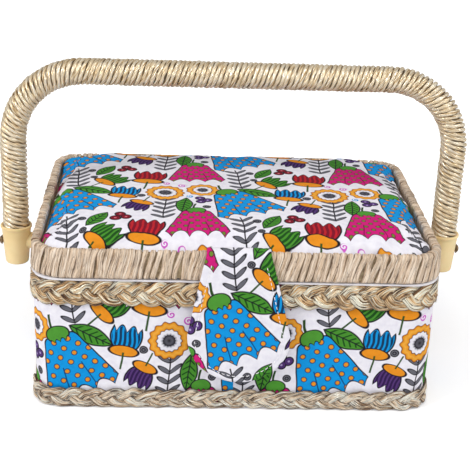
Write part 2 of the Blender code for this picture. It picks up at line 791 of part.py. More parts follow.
def knuckle_room(name, hinge_x, shares):
    """Room in one leaf for the knuckles of the other."""
    start = hinge_x - HINGE_WIDTH / 2
    reach = KNUCKLE_RADIUS + CLEAR
    pieces = []
    for low, high in shares:
        from_x = start + low * HINGE_WIDTH - CLEAR / 2
        to_x = start + high * HINGE_WIDTH + CLEAR / 2
        if low == 0:
            from_x -= OVERRUN
        if high == 1:
            to_x += OVERRUN
        low_corner = (from_x, HINGE_Y - 2 * reach, HINGE_Z - reach)
        pieces.append(box(name, low_corner, (to_x, HINGE_Y + reach, HINGE_Z + reach)))
    return as_cutter(join_bodies(name, pieces))


OUTER_KNUCKLE_SHARES = ((0.0, 1 / 3), (2 / 3, 1.0))
MIDDLE_KNUCKLE_SHARES = ((1 / 3, 2 / 3),)


def make_leaf(name, hinge_x, side_view, own, other, bores, carrier):
    """One hinge leaf, drawn from the side, with its knuckles, pin bore and screw holes."""
    middle = Matrix.Translation((hinge_x, 0, 0))
    leaf = flat_piece(name, side_view, HINGE_WIDTH / 2 - CLEAR / 2, middle @ FACING_SIDE)
    place(leaf, BRASS, carrier)
    boolean(leaf, knuckle_room(f"{name}_room", hinge_x, other))
    boolean(leaf, as_cutter(knuckles(f"{name}_knuckles", hinge_x, own)), "UNION")
    reach = HINGE_WIDTH / 2 + OVERRUN
    radius = HINGE_PIN_RADIUS + CLEAR
    ends = (hinge_x - reach, hinge_x + reach)
    bore = cylinder_x(f"{name}_bore", radius, *ends, HINGE_Y, HINGE_Z, HOLE_STEPS)
    boolean(leaf, as_cutter(bore))
    boolean(leaf, bores)


def make_hinges():
    """Two butt hinges on the rear face. The body's leaves are cranked in to the rim braid."""
    back = LEAF_Y + LEAF_THICKNESS
    lid_view = [
        (LEAF_Y, HINGE_Z),
        (back, HINGE_Z),
        (back, HINGE_Z + LID_LEAF_HEIGHT),
        (LEAF_Y, HINGE_Z + LID_LEAF_HEIGHT),
    ]
    crank = LEAF_Y - SEAT_Y
    seat_back = SEAT_Y + LEAF_THICKNESS
    body_view = [
        (back, HINGE_Z),
        (LEAF_Y, HINGE_Z),
        (LEAF_Y, BODY_LEAF_TOP + crank),
        (SEAT_Y, BODY_LEAF_TOP),
        (SEAT_Y, BODY_LEAF_FOOT),
        (seat_back, BODY_LEAF_FOOT),
        (seat_back, BODY_LEAF_TOP - LEAF_THICKNESS / 2),
        (back, BODY_LEAF_TOP + crank - LEAF_THICKNESS / 2),
    ]
    middle, outer = MIDDLE_KNUCKLE_SHARES, OUTER_KNUCKLE_SHARES
    half = HINGE_WIDTH / 2
    for side in (-1, 1):
        x = side * HINGE_SPACING / 2
        word = sign_name(side)
        make_leaf(f"hinge_lid_leaf_{word}", x, lid_view, middle, outer, lid_screw_bores, LID_PIVOT)
        make_leaf(f"hinge_body_leaf_{word}", x, body_view, outer, middle, body_screw_bores, None)
        pin_name = f"hinge_pin_{word}"
        pin = cylinder_x(pin_name, HINGE_PIN_RADIUS, x - half, x + half, HINGE_Y, HINGE_Z, HOLE_STEPS)
        place(pin, STEEL)


def make_screws():
    """Round-headed screws that hold the leaves to the hoop and to the box."""
    profile = [(out * SCREW_HEAD_RADIUS, up * SCREW_HEAD) for out, up in SCREW_DOME_SHARES]
    profile += [
        (SCREW_RADIUS, 0),
        (SCREW_RADIUS, -SCREW_LENGTH + SCREW_RADIUS),
        (0, -SCREW_LENGTH),
    ]
    facing_back = Matrix.Rotation(-math.pi / 2, 4, "X")
    for x, hinge, screw in screw_places():
        word = f"{sign_name(hinge)}_{'a' if screw < 0 else 'b'}"
        for level, y, z, carrier in (
            ("lid", LEAF_Y, LID_SCREW_Z, LID_PIVOT),
            ("body", SEAT_Y, BODY_SCREW_Z, None),
        ):
            seat = (x, y + LEAF_THICKNESS + CLEAR, z)
            screw_name = f"{level}_screw_{word}"
            piece = turned(screw_name, profile, seat, facing_back, steps=SCREW_STEPS)
            place(piece, STEEL, carrier, smooth=False)


POST_FOOT = SOCKET_FOOT + SOCKET_FLOOR + CLEAR
POST_RUN = CROSSBAR_Z - HANDLE_BEND - POST_FOOT
BEND_RUN = HANDLE_BEND * math.pi / 2
BAR_RUN = 2 * (POST_X - HANDLE_BEND)
HANDLE_RUN = 2 * (POST_RUN + BEND_RUN) + BAR_RUN


def handle_point(along):
    """Point, forward direction and outward normal of the handle's centre line, from its left foot."""
    if along > HANDLE_RUN / 2:
        point, forward, outward = handle_point(HANDLE_RUN - along)
        flip = Matrix.Diagonal((-1, 1, 1))
        return flip @ point, -(flip @ forward), flip @ outward
    if along < POST_RUN:
        return Vector((-POST_X, 0, POST_FOOT + along)), Vector((0, 0, 1)), Vector((-1, 0, 0))
    along -= POST_RUN
    bend = min(along / HANDLE_BEND, math.pi / 2)
    outward = Vector((-math.cos(bend), 0, math.sin(bend)))
    centre = Vector((-POST_X + HANDLE_BEND, 0, CROSSBAR_Z - HANDLE_BEND))
    forward = Vector((math.sin(bend), 0, math.cos(bend)))
    straight = max(along - BEND_RUN, 0)
    return centre + HANDLE_BEND * outward + straight * forward, forward, outward


def make_core():
    """The bent cane inside the handle, as a tube along the centre line."""
    stops = [0]
    stops += [POST_RUN + BEND_RUN * step / BEND_STEPS for step in range(BEND_STEPS + 1)]
    stops.append(HANDLE_RUN / 2)
    stops += [HANDLE_RUN - stop for stop in reversed(stops[:-1])]
    curve = bpy.data.curves.new("handle_core", "CURVE")
    curve.dimensions = "3D"
    curve.bevel_depth = CORE_RADIUS
    curve.bevel_resolution = CORE_STEPS
    curve.use_fill_caps = True
    spline = curve.splines.new("POLY")
    spline.points.add(len(stops) - 1)
    for point, along in zip(spline.points, stops):
        point.co = (*handle_point(along)[0], 1)
    core = made_mesh(bpy.data.objects.new("handle_core", curve))
    place(core, CANE, HANDLE_PIVOT)
    boolean(core, bolt_bores)


def winding_section(width, floor_radius):
    """Offset and radius of each corner of the flat band, whose side-by-side cords show as low ridges."""
    corners = []
    stops = 2 * WIND_CORDS
    for stop in range(stops + 1):
        groove = 1.0 if stop % 2 == 0 else 0.0
        corners.append((width * (stop / stops - 0.5), GRIP_RADIUS - groove * WIND_RELIEF))
    return corners + [(width / 2, floor_radius), (0, floor_radius), (-width / 2, floor_radius)]


def make_winding():
    """The band of glossy cord wound on the core as one helix, cut off square inside both sockets."""
    mouth = SOCKET_TOP - SOCKET_MOUTH - POST_FOOT
    wound = HANDLE_RUN - 2 * mouth
    pitch = wound / (WIND_LOOPS - 1)
    width = pitch - WIND_GAP
    # Straight facets cut inside their circle and across a bend: the floor stands off by what they lose.
    bend_loss = (width / 2) ** 2 / (8 * HANDLE_BEND)
    floor_radius = (CORE_RADIUS + CLEAR + bend_loss) / math.cos(math.pi / WIND_STEPS)
    section = winding_section(width, floor_radius)
    count = WIND_LOOPS * WIND_STEPS
    loops = []
    for step in range(count + 1):
        centre = mouth + pitch * (step / WIND_STEPS - 0.5)
        angle = 2 * math.pi * step / WIND_STEPS
        loop = []
        for along, radius in section:
            point, _, outward = handle_point(min(max(centre + along, 0), HANDLE_RUN))
            spoke = math.cos(angle) * outward + math.sin(angle) * Vector((0, 1, 0))
            loop.append(point + radius * spoke)
        loops.append(loop)
    print_least_gap(loops)
    winding = place(skin("handle_winding", loops), GLOSS_CORD, HANDLE_PIVOT)
    ends = []
    foot = SOCKET_FOOT - OVERRUN
    reach = GRIP_RADIUS + OVERRUN
    for side in (-1, 1):
        ends.append(
            box(
                "winding_end",
                (side * POST_X - reach, -reach, foot),
                (side * POST_X + reach, reach, POST_FOOT + mouth),
            )
        )
    boolean(winding, as_cutter(join_bodies("winding_ends", ends)))


def print_least_gap(loops):
    """Measures how near one loop of the band comes to the next, along their facing edges."""
    top = 2 * WIND_CORDS
    upper = np.array([[loop[top], loop[top + 1]] for loop in loops])
    lower = np.array([[loop[0], loop[-1]] for loop in loops])
    shares = np.linspace(0, 1, 9)[:, None, None, None]
    rising = upper[:-1] * (1 - shares) + upper[1:] * shares
    falling = lower[:-1] * (1 - shares) + lower[1:] * shares
    gaps = []
    for step in range(len(loops) - 1 - WIND_STEPS):
        one = rising[:, step].reshape(-1, 3)
        other = falling[:, step + WIND_STEPS].reshape(-1, 3)
        gaps.append(np.linalg.norm(one[:, None] - other[None], axis=2).min())
    print(f"handle winding: least gap between neighbouring loops {1000 * min(gaps):.2f} mm")


SOCKET_MOUTH_RADIUS = GRIP_RADIUS + CLEAR
SOCKET_BORE_RADIUS = CORE_RADIUS + CLEAR
SOCKET_TOP_RADIUS = SOCKET_MOUTH_RADIUS + SOCKET_WALL
SOCKET_FOOT_RADIUS = SOCKET_BORE_RADIUS + SOCKET_WALL


def socket_radius(z):
    """Outer radius of the tapered cup at a height."""
    share = (z - SOCKET_FOOT) / SOCKET_HEIGHT
    return SOCKET_FOOT_RADIUS + (SOCKET_TOP_RADIUS - SOCKET_FOOT_RADIUS) * share


def make_sockets():
    """The two moulded cups that hold the handle's ends, each with a boss that stands it off the box."""
    lip_foot = SOCKET_TOP - SOCKET_LIP_HEIGHT
    profile = [
        (SOCKET_MOUTH_RADIUS, SOCKET_TOP),
        (SOCKET_TOP_RADIUS, SOCKET_TOP),
        (SOCKET_TOP_RADIUS + SOCKET_LIP, SOCKET_TOP - SOCKET_LIP),
        (SOCKET_TOP_RADIUS + SOCKET_LIP, lip_foot + SOCKET_LIP),
        (socket_radius(lip_foot), lip_foot),
    ]
    for step in range(SOCKET_ROUND_STEPS + 1):
        angle = math.pi / 2 * step / SOCKET_ROUND_STEPS
        profile.append(
            (
                SOCKET_FOOT_RADIUS - SOCKET_ROUND * (1 - math.cos(angle)),
                SOCKET_FOOT + SOCKET_ROUND * (1 - math.sin(angle)),
            )
        )
    step_z = SOCKET_TOP - SOCKET_MOUTH - CLEAR
    profile += [
        (0, SOCKET_FOOT),
        (0, SOCKET_FOOT + SOCKET_FLOOR),
        (SOCKET_BORE_RADIUS, SOCKET_FOOT + SOCKET_FLOOR),
        (SOCKET_BORE_RADIUS, step_z),
        (SOCKET_MOUTH_RADIUS, step_z),
    ]
    for side in (-1, 1):
        name = f"handle_socket_{sign_name(side)}"
        cup = turned(name, profile, (side * POST_X, 0, 0), closed=True)
        socket = made_mesh(cup)
        place(socket, SOCKET_PLASTIC, HANDLE_PIVOT)
        inner_x = BRAID_OUT[0] + CLEAR
        boss = cylinder_x(
            f"{name}_boss",
            BOSS_RADIUS,
            side * inner_x,
            side * (POST_X - SOCKET_BORE_RADIUS - SOCKET_WALL / 2),
            0,
            PIVOT_Z,
            BOLT_STEPS,
        )
        boolean(socket, as_cutter(boss), "UNION")
        boolean(socket, bolt_bores)


def make_bolts():
    """A domed pivot bolt on each side, through socket, handle and box, with its washer and nut inside."""
    head_x = POST_X + socket_radius(PIVOT_Z + BOLT_HEAD_RADIUS) + CLEAR
    profile = []
    for step in range(BOLT_DOME_STEPS + 1):
        angle = math.pi / 2 * step / BOLT_DOME_STEPS
        profile.append((BOLT_HEAD_RADIUS * math.sin(angle), head_x + BOLT_HEAD * math.cos(angle)))
    profile += [(BOLT_RADIUS, head_x), (BOLT_RADIUS, BOLT_END_X), (0, BOLT_END_X)]
    ring = [
        (BOLT_HOLE, WASHER_X),
        (WASHER_RADIUS, WASHER_X),
        (WASHER_RADIUS, WASHER_X - WASHER),
        (BOLT_HOLE, WASHER_X - WASHER),
    ]
    for side in (-1, 1):
        word = sign_name(side)
        turn = Matrix.Rotation(side * math.pi / 2, 4, "Y")
        at = (0, 0, PIVOT_Z)
        bolt = turned(f"handle_bolt_{word}", profile, at, turn, steps=BOLT_STEPS)
        place(bolt, STEEL, BOLT_PIVOT, smooth=False)
        washer = turned(f"bolt_washer_{word}", ring, at, turn, closed=True, steps=BOLT_STEPS)
        place(washer, STEEL, BOLT_PIVOT, smooth=False)
        near_x, far_x = side * NUT_X, side * (NUT_X - NUT)
        nut = cylinder_x(f"bolt_nut_{word}", NUT_RADIUS, near_x, far_x, 0, PIVOT_Z, NUT_SIDES)
        place(nut, STEEL, BOLT_PIVOT, smooth=False)
        boolean(nut, bolt_bores)


make_box()
make_lining()
make_tray()
make_hoop()
make_lid_filling()
make_tab()
make_hinges()
make_screws()
make_core()
make_winding()
make_sockets()
make_bolts()
print(f"{sum(obj.type == 'MESH' for obj in basket.objects)} pieces")
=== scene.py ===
import json
import math

import bmesh
import bpy
import numpy as np
from mathutils import Matrix, Vector


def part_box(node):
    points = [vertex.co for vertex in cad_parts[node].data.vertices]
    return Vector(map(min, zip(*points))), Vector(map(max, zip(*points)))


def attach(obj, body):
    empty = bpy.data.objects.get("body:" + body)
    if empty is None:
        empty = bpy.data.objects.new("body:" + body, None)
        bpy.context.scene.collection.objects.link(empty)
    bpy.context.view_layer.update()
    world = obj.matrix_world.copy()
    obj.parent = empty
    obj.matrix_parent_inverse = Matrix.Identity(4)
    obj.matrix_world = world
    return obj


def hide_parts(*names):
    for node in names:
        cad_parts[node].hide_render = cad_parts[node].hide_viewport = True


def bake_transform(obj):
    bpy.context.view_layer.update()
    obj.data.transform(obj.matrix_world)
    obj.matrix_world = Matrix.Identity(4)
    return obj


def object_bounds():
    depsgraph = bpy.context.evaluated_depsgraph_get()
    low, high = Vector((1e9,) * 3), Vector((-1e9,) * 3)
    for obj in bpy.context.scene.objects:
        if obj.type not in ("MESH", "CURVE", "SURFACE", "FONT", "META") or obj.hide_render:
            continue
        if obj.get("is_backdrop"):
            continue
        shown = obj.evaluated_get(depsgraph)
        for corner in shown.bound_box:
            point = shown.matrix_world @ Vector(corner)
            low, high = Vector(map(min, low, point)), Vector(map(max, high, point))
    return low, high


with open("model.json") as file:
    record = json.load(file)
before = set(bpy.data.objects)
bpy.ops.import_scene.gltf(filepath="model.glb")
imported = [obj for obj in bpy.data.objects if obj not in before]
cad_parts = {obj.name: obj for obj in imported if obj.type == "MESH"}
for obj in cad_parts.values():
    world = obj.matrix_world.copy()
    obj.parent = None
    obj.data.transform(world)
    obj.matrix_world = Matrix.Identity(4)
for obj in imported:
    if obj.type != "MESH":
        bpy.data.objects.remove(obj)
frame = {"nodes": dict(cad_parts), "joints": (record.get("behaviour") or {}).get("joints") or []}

cadLow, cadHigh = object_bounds()
nodes = frame["nodes"]
print(f"frame: {len(nodes)} nodes")

tau = 2 * math.pi


# ---- shapes ----
def wave(values, seed, rounds):
    # a smooth periodic wobble between about -1 and 1: sines whose whole numbers of rounds are given, added up
    dice = np.random.default_rng(seed)
    total = np.zeros_like(values)
    for number in rounds:
        total += dice.uniform(0.5, 1) * np.sin(tau * (number * values + dice.random()))
    return total / math.sqrt(len(rounds))


def addPiece(name, data):
    piece = bpy.data.objects.new(name, data)
    bpy.context.scene.collection.objects.link(piece)
    return piece


def unit(vectors):
    return vectors / np.linalg.norm(vectors, axis=1, keepdims=True)


def runAlong(line):
    # how far each point of a line is from its first one, along the line
    return np.concatenate([[0], np.cumsum(np.linalg.norm(np.diff(line, axis=0), axis=1))])


def cordUv(lengths, rounds, number):
    # metres along a cord, and its number plus the share of the way round it
    long, turn = np.meshgrid(lengths, rounds, indexing="ij")
    return np.stack([long, turn + number], -1)


def lineLength(plan):
    halfX, halfY, corner = plan
    return 4 * (halfX + halfY - 2 * corner) + tau * corner


def roundedLine(plan, along):
    # Points and outward normals a distance along a rounded rectangle, anticlockwise from its front's middle:
    # straight sides and quarter circles in turn, each side's heading a right angle past the last one's.
    halfX, halfY, corner = plan
    boxX, boxY = halfX - corner, halfY - corner
    arc = corner * math.pi / 2
    runs = [boxX, arc, 2 * boxY, arc, 2 * boxX, arc, 2 * boxY, arc, boxX]
    stops = np.concatenate([[0], np.cumsum(runs)])
    along = np.mod(along, stops[-1])
    part = np.clip(np.searchsorted(stops, along, side="right") - 1, 0, 8)
    step = along - stops[part]
    curved = part % 2 == 1
    heading = part // 2 * (math.pi / 2) + np.where(curved, step / corner, 0)
    startX = np.array([0, boxX, halfX, boxX, boxX, -boxX, -halfX, -boxX, -boxX])[part]
    startY = np.array([-halfY, -boxY, -boxY, boxY, halfY, boxY, boxY, -boxY, -halfY])[part]
    reach = np.where(curved, corner, 0)
    ahead = np.where(curved, 0, step)
    x = startX + ahead * np.cos(heading) + reach * np.sin(heading)
    y = startY + ahead * np.sin(heading) - reach * np.cos(heading)
    return x, y, np.sin(heading), -np.cos(heading)


def onWall(plan, along, out, z):
    # a point that stands out from the wall of a plan, from its place along it and its height
    x, y, normalX, normalY = roundedLine(plan, along)
    return np.stack([x + normalX * out, y + normalY * out, z + 0 * x], -1)


def inset(plan, depth):
    return tuple(size - depth for size in plan)


def grid(points, uv=None, closedLong=False, closedRound=True, capped=False):
    # One bundle of surfaces, each a grid of points (surface, along, round), for makeMesh.
    if points.ndim == 3:
        points = points[None]
    surfaces, longs, rounds = points.shape[:3]
    if uv is None:
        long, turn = np.meshgrid(
            np.linspace(0, 1, longs + closedLong), np.linspace(0, 1, rounds + closedRound), indexing="ij"
        )
        uv = np.stack([long, turn], -1)
    uv = np.broadcast_to(uv, (surfaces, longs + closedLong, rounds + closedRound, 2))
    return points, uv, closedLong, closedRound, capped


def makeMesh(name, bundles, smoothAngle=50):
    # Quads between neighbouring points of every grid, and a polygon over each open end that is capped.
    points, faces, faceUv, base = [], [], [], 0
    for array, uv, closedLong, closedRound, capped in bundles:
        surfaces, longs, rounds = array.shape[:3]
        index = base + np.arange(surfaces * longs * rounds).reshape(surfaces, longs, rounds)
        i = np.arange(longs - (not closedLong))[:, None]
        j = np.arange(rounds - (not closedRound))[None]
        corners = [(i, j), (i + 1, j), (i + 1, j + 1), (i, j + 1)]
        quads = [index[:, long % longs, turn % rounds] for long, turn in corners]
        spots = [uv[:, long, turn] for long, turn in corners]
        faces += np.stack(quads, -1).reshape(-1, 4).tolist()
        faceUv.append(np.stack(spots, -2).reshape(-1, 2))
        if capped:
            for end in (0, -1):
                faces += index[:, end].tolist()
                faceUv.append(uv[:, end, :rounds].reshape(-1, 2))
        points.append(array.reshape(-1, 3))
        base += surfaces * longs * rounds
    mesh = bpy.data.meshes.new(name)
    mesh.from_pydata(np.concatenate(points), [], faces)
    layer = mesh.uv_layers.new(name="cloth")
    layer.data.foreach_set("uv", np.concatenate(faceUv).astype(np.float32).ravel())
    build = bmesh.new()
    build.from_mesh(mesh)
    bmesh.ops.remove_doubles(build, verts=build.verts, dist=1e-7)
    bmesh.ops.recalc_face_normals(build, faces=build.faces)
    build.to_mesh(mesh)
    build.free()
    mesh.shade_smooth()
    mesh.set_sharp_from_angle(angle=math.radians(smoothAngle))
    return addPiece(name, mesh)


def dress(piece, material, body, slot, *replaced):
    # Gives a finished piece its material and its body, and hides the CAD nodes that it stands for. Its slot
    # is not used.
    piece.data.materials.clear()
    piece.data.materials.append(material)
    if body:
        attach(piece, body)
    if replaced:
        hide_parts(*replaced)
    triangles = sum(len(face.vertices) - 2 for face in piece.data.polygons)
    print(f"{piece.name}: {triangles} triangles")
    return piece


def lathe(profile, sides):
    # A profile of (radius, height) points turned round Z: the radius times the turn's cosine and sine.
    radius, height = np.array(profile).T[..., None]
    turn = np.linspace(0, tau, sides, endpoint=False)
    return np.stack([radius * np.cos(turn), radius * np.sin(turn), height + 0 * turn], -1)


def smoothed(profile, rounds=2):
    # Chaikin corner cutting: each side of the profile keeps its middle half.
    profile = np.array(profile, float)
    for _ in range(rounds):
        near, far = profile[:-1], profile[1:]
        cut = np.stack([0.75 * near + 0.25 * far, 0.25 * near + 0.75 * far], 1).reshape(-1, 2)
        profile = np.concatenate([profile[:1], cut[1:-1], profile[-1:]])
    return profile


# ---- materials ----
def tint(red, green, blue):
    # screen colour, 0 to 255, as the linear light that a shader wants
    share = np.array([red, green, blue]) / 255
    linear = np.where(share <= 0.04045, share / 12.92, ((share + 0.055) / 1.055) ** 2.4)
    return (*linear.tolist(), 1.0)


class Wire:
    # One output of a node. Arithmetic on it adds Math nodes to its material.
    def __init__(self, recipe, socket):
        self.recipe, self.socket = recipe, socket

    def maths(self, operation, *others, clamp=False):
        settings = {"operation": operation, "use_clamp": clamp}
        return self.recipe.node("ShaderNodeMath", settings, dict(enumerate((self, *others))))

    def __add__(self, other):
        return self.maths("ADD", other)

    def __sub__(self, other):
        return self.maths("SUBTRACT", other)

    def __rsub__(self, other):
        return self.maths("MULTIPLY_ADD", -1.0, other)

    def __mul__(self, other):
        return self.maths("MULTIPLY", other)

    def __truediv__(self, other):
        return self.maths("DIVIDE", other)

    __radd__, __rmul__ = __add__, __mul__

    def __abs__(self):
        return self.maths("ABSOLUTE")

    def scaled(self, factor, plus):
        return self.maths("MULTIPLY_ADD", factor, plus)

    def least(self, other):
        return self.maths("MINIMUM", other)

    def most(self, other):
        return self.maths("MAXIMUM", other)

    def sine(self):
        return self.maths("SINE")

    def inside(self, soft):
        # 1 where a signed distance is under zero, with an edge this soft
        return self.maths("MULTIPLY_ADD", -1 / soft, 0.5, clamp=True)


class Recipe:
    # One material and its nodes.
    def __init__(self, name, **fixed):
        self.material = bpy.data.materials.new(name)
        self.material.use_nodes = True
        self.tree = self.material.node_tree
        self.shader = self.tree.nodes["Principled BSDF"]
        for socket, value in fixed.items():
            self.shader.inputs[socket.replace("_", " ")].default_value = value

    def join(self, socket, value):
        if isinstance(value, Wire):
            self.tree.links.new(value.socket, socket)
        elif value is not None:
            socket.default_value = value

    def node(self, kind, settings, values, output=0):
        made = self.tree.nodes.new(kind)
        for setting, value in settings.items():
            if setting == "stops":
                ramp = made.color_ramp
                while len(ramp.elements) < len(value):
                    ramp.elements.new(0.5)
                for element, (place, colour) in zip(ramp.elements, value):
                    element.position, element.color = place, colour
            elif setting == "blend":
                made.color_ramp.interpolation = value
            else:
                setattr(made, setting, value)
        for socket, value in values.items():
            self.join(made.inputs[socket], value)
        return Wire(self, made.outputs[output])

    def mix(self, under, over, factor, kind="MIX"):
        settings = {"data_type": "RGBA", "blend_type": kind}
        return self.node("ShaderNodeMix", settings, {0: factor, 6: under, 7: over}, 2)

    def vector(self, operation, *values, output=0, **named):
        inputs = dict(enumerate(values))
        inputs.update(named)
        return self.node("ShaderNodeVectorMath", {"operation": operation}, inputs, output)

    def join3(self, x, y, z=0.0):
        return self.node("ShaderNodeCombineXYZ", {}, {0: x, 1: y, 2: z})

    def split(self, vector):
        made = self.tree.nodes.new("ShaderNodeSeparateXYZ")
        self.join(made.inputs[0], vector)
        return [Wire(self, made.outputs[axis]) for axis in range(3)]

    def uv(self):
        return self.node("ShaderNodeUVMap", {"uv_map": "cloth"}, {})

    def here(self):
        return self.node("ShaderNodeTexCoord", {}, {}, "Object")

    def noise(self, vector, scale, detail=2.0, rough=0.5, output=0):
        values = {"Vector": vector, "Scale": scale, "Detail": detail, "Roughness": rough}
        return self.node("ShaderNodeTexNoise", {}, values, output)

    def ramp(self, value, *stops, blend="LINEAR"):
        return self.node("ShaderNodeValToRGB", {"stops": stops, "blend": blend}, {0: value})

    def bump(self, height, strength, distance):
        values = {"Height": height, "Strength": strength, "Distance": distance}
        return self.node("ShaderNodeBump", {}, values)

    def strand(self):
        # along a cord in metres, the cosine of the way round it, and its number
        u, v, _ = self.split(self.uv())
        number = v.maths("FLOOR")
        return u, ((v - number) * tau).maths("COSINE"), number

    def drawnOut(self, scales, *detail):
        # noise over pairs of a wire and its scale
        return self.noise(self.join3(*[wire * scale for wire, scale in scales]), 1.0, *detail)

    def finish(self, **wires):
        for socket, value in wires.items():
            self.join(self.shader.inputs[socket.replace("_", " ")], value)
        return self.material


white = tint(238, 236, 243)
ink = tint(32, 29, 36)


class Motifs:
    # The printed cloth's motifs: each is a signed distance in millimetres from its middle, painted in turn.
    def __init__(self, recipe, cloth, tile, wobble):
        self.recipe, self.tile = recipe, tile
        drift = recipe.noise(cloth, wobble["scale"], 1.0, output="Color")
        shift = recipe.vector("SUBTRACT", drift, (0.5, 0.5, 0.5))
        shift = recipe.vector("SCALE", shift, Scale=wobble["reach"])
        self.cloth = recipe.vector("ADD", recipe.vector("SCALE", cloth, Scale=1000.0), shift)
        self.colour = white

    def spot(self, x, y, turn=0.0, size=1.0):
        # own coordinates of a motif whose middle is repeated from tile to tile
        wide, high = self.tile
        near = self.recipe.vector("SUBTRACT", self.cloth, (x, y, 0))
        near = self.recipe.vector("WRAP", near, (wide / 2, high / 2, 1), (-wide / 2, -high / 2, -1))
        if turn:
            values = {"Vector": near, "Angle": math.radians(-turn)}
            near = self.recipe.node("ShaderNodeVectorRotate", {"rotation_type": "Z_AXIS"}, values)
        if size != 1.0:
            near = self.recipe.vector("SCALE", near, Scale=1 / size)
        return near

    def away(self, near, x=0.0, y=0.0, stretchX=1.0, stretchY=1.0):
        # distance from a point, with the axes stretched for an ellipse
        if x or y:
            near = self.recipe.vector("SUBTRACT", near, (x, y, 0))
        if stretchX != 1 or stretchY != 1:
            near = self.recipe.vector("MULTIPLY", near, (stretchX, stretchY, 0))
        return self.recipe.vector("LENGTH", near, output="Value")

    def paint(self, distance, colour, soft=0.35):
        self.colour = self.recipe.mix(self.colour, colour, distance.inside(soft))

    def drawn(self, distance, fill, line=0.65):
        # a filled shape with a dark drawn edge
        self.paint(distance - line, ink)
        self.paint(distance + line * 0.4, fill)

    def dots(self, near, inside, gap, radius, colour, ring):
        # staggered rows of dots, each with a ring round it, kept inside a shape
        half = gap / 2
        spots = []
        for shift in (0.0, half):
            moved = self.recipe.vector("ADD", near, (shift, shift * 1.1, 0))
            moved = self.recipe.vector("WRAP", moved, (half, half * 1.1, 1), (-half, -half * 1.1, -1))
            spots.append(self.recipe.vector("LENGTH", moved, output="Value"))
        away = spots[0].least(spots[1])
        self.paint((away - radius * 1.45).most(inside + 0.3), ring)
        self.paint((away - radius).most(inside + 0.3), colour)

    def bell(self, near, fill, dot, ring, shade):
        # a bellflower: sides that widen downwards, a lobed lower edge, a green cap and a bent stem
        x, y, _ = self.recipe.split(near)
        wide = abs(x)
        stem = abs(x - (y * 0.2).sine() * 1.6) - 0.5
        stem = stem.most(abs(y - 24) - 7)
        self.paint(stem - 0.3, tint(40, 70, 30))
        sides = wide + y.scaled(0.36, -15.5)
        lobes = abs((x * 0.262).maths("COSINE")).scaled(5.5, 0.0)
        lower = lobes - y - 21.5
        shape = sides.maths("SMOOTH_MAX", y - 17.5, 5.0).most(lower)
        self.drawn(shape, fill, 0.6)
        fold = abs(wide + y.scaled(0.16, -5.2)) - 0.35
        self.paint(fold.most(shape + 1.0).most(y + 2.0), shade)
        self.dots(near, shape, 8.6, 1.25, dot, ring)
        cap = self.away(near, 0, 18.5, 0.75, 1.0) - 5.0
        self.drawn(cap.most(14.0 - y + abs((x * 0.9).sine()) * 2.0), tint(78, 150, 52), 0.5)

    def daisy(self, near, radius, petals, stops):
        # rings of colour out from the middle, their edge scalloped by a cosine of the angle
        x, y, _ = self.recipe.split(near)
        away = self.away(near)
        angle = y.maths("ARCTAN2", x) * petals
        scallop = angle.maths("COSINE").scaled(0.05, 1.0)
        share = away / scallop / radius
        rings = self.recipe.ramp(share, *stops)
        self.colour = self.recipe.mix(self.colour, rings, (away / scallop - radius).inside(0.4))

    def tulip(self, near, petal, dark, base):
        # an egg cut off by a zigzag, on a two-leaved base
        x, y, _ = self.recipe.split(near)
        cup = self.away(near, 0, 0, 1.0, 0.85) - 8.0
        tip = y - abs((x * 0.55).sine()) * 4.0 - 1.5
        shape = cup.most(tip)
        self.drawn(shape, petal)
        streaks = (x * 2.6 + (y * 0.5).sine()).sine() * 0.9 - 0.15
        self.paint(streaks.most(shape + 0.6), dark)
        foot = self.away(near, 0, -9.0, 0.62, 1.5) - 4.6
        self.drawn(foot, base)
        self.paint((abs(x) - 0.5).most(abs(y + 15.0) - 5.0), tint(50, 80, 36))

    def leaf(self, near, wide, high, fill, vein):
        # two bowed sides: half width less the square of the height, with slanting veins
        x, y, _ = self.recipe.split(near)
        side = abs(x)
        shape = side + (y * y) * (wide / high**2) - wide
        self.drawn(shape * 0.8, fill, 0.5)
        veins = (side * 1.5 - y * 1.7).sine() - 0.55
        self.paint((0.0 - veins).most(shape + 0.9), vein)
        self.paint((side - 0.35).most(abs(y) - high), ink)

    def sprig(self, near, high, fill, gap=7.0):
        # a bent stem with a pair of small leaves at every step up it
        x, y, _ = self.recipe.split(near)
        x = x - (y * 0.09).sine() * 2.4
        inside = abs(y) - high
        self.paint((abs(x) - 0.45).most(inside), ink)
        step = y.maths("WRAP", gap / 2, -gap / 2)
        side = abs(x) - 3.4
        lengthwise = (side * 0.8 + step * 0.6).maths("POWER", 2.0)
        leaf = lengthwise * 0.09 + (step * 0.8 - side * 0.6).maths("POWER", 2.0)
        self.drawn(((leaf - 1.6) * 0.5).most(inside + 0.4), fill, 0.4)

    def berries(self, near, fill, shine):
        spots = [self.away(near, x, y) for x, y in ((-3.4, 0.0), (3.2, 0.6), (0.2, 5.2))]
        shape = spots[0].least(spots[1]).least(spots[2]) - 2.9
        self.drawn(shape, fill)
        self.paint(shape + 2.1, shine)

    def seed(self, near, radius, fill, shine):
        away = self.away(near)
        self.drawn(away - radius, fill, 0.5)
        self.paint(abs(away - radius * 0.45) - 0.3, shine)

    def curl(self, near, radius, colour):
        # a spiral: stripes of the distance out, turned along with the angle
        x, y, _ = self.recipe.split(near)
        away = self.away(near)
        stripes = (away * 3.4 + y.maths("ARCTAN2", x)).sine() * 0.4 - 0.05
        self.paint(stripes.most(away - radius), colour)


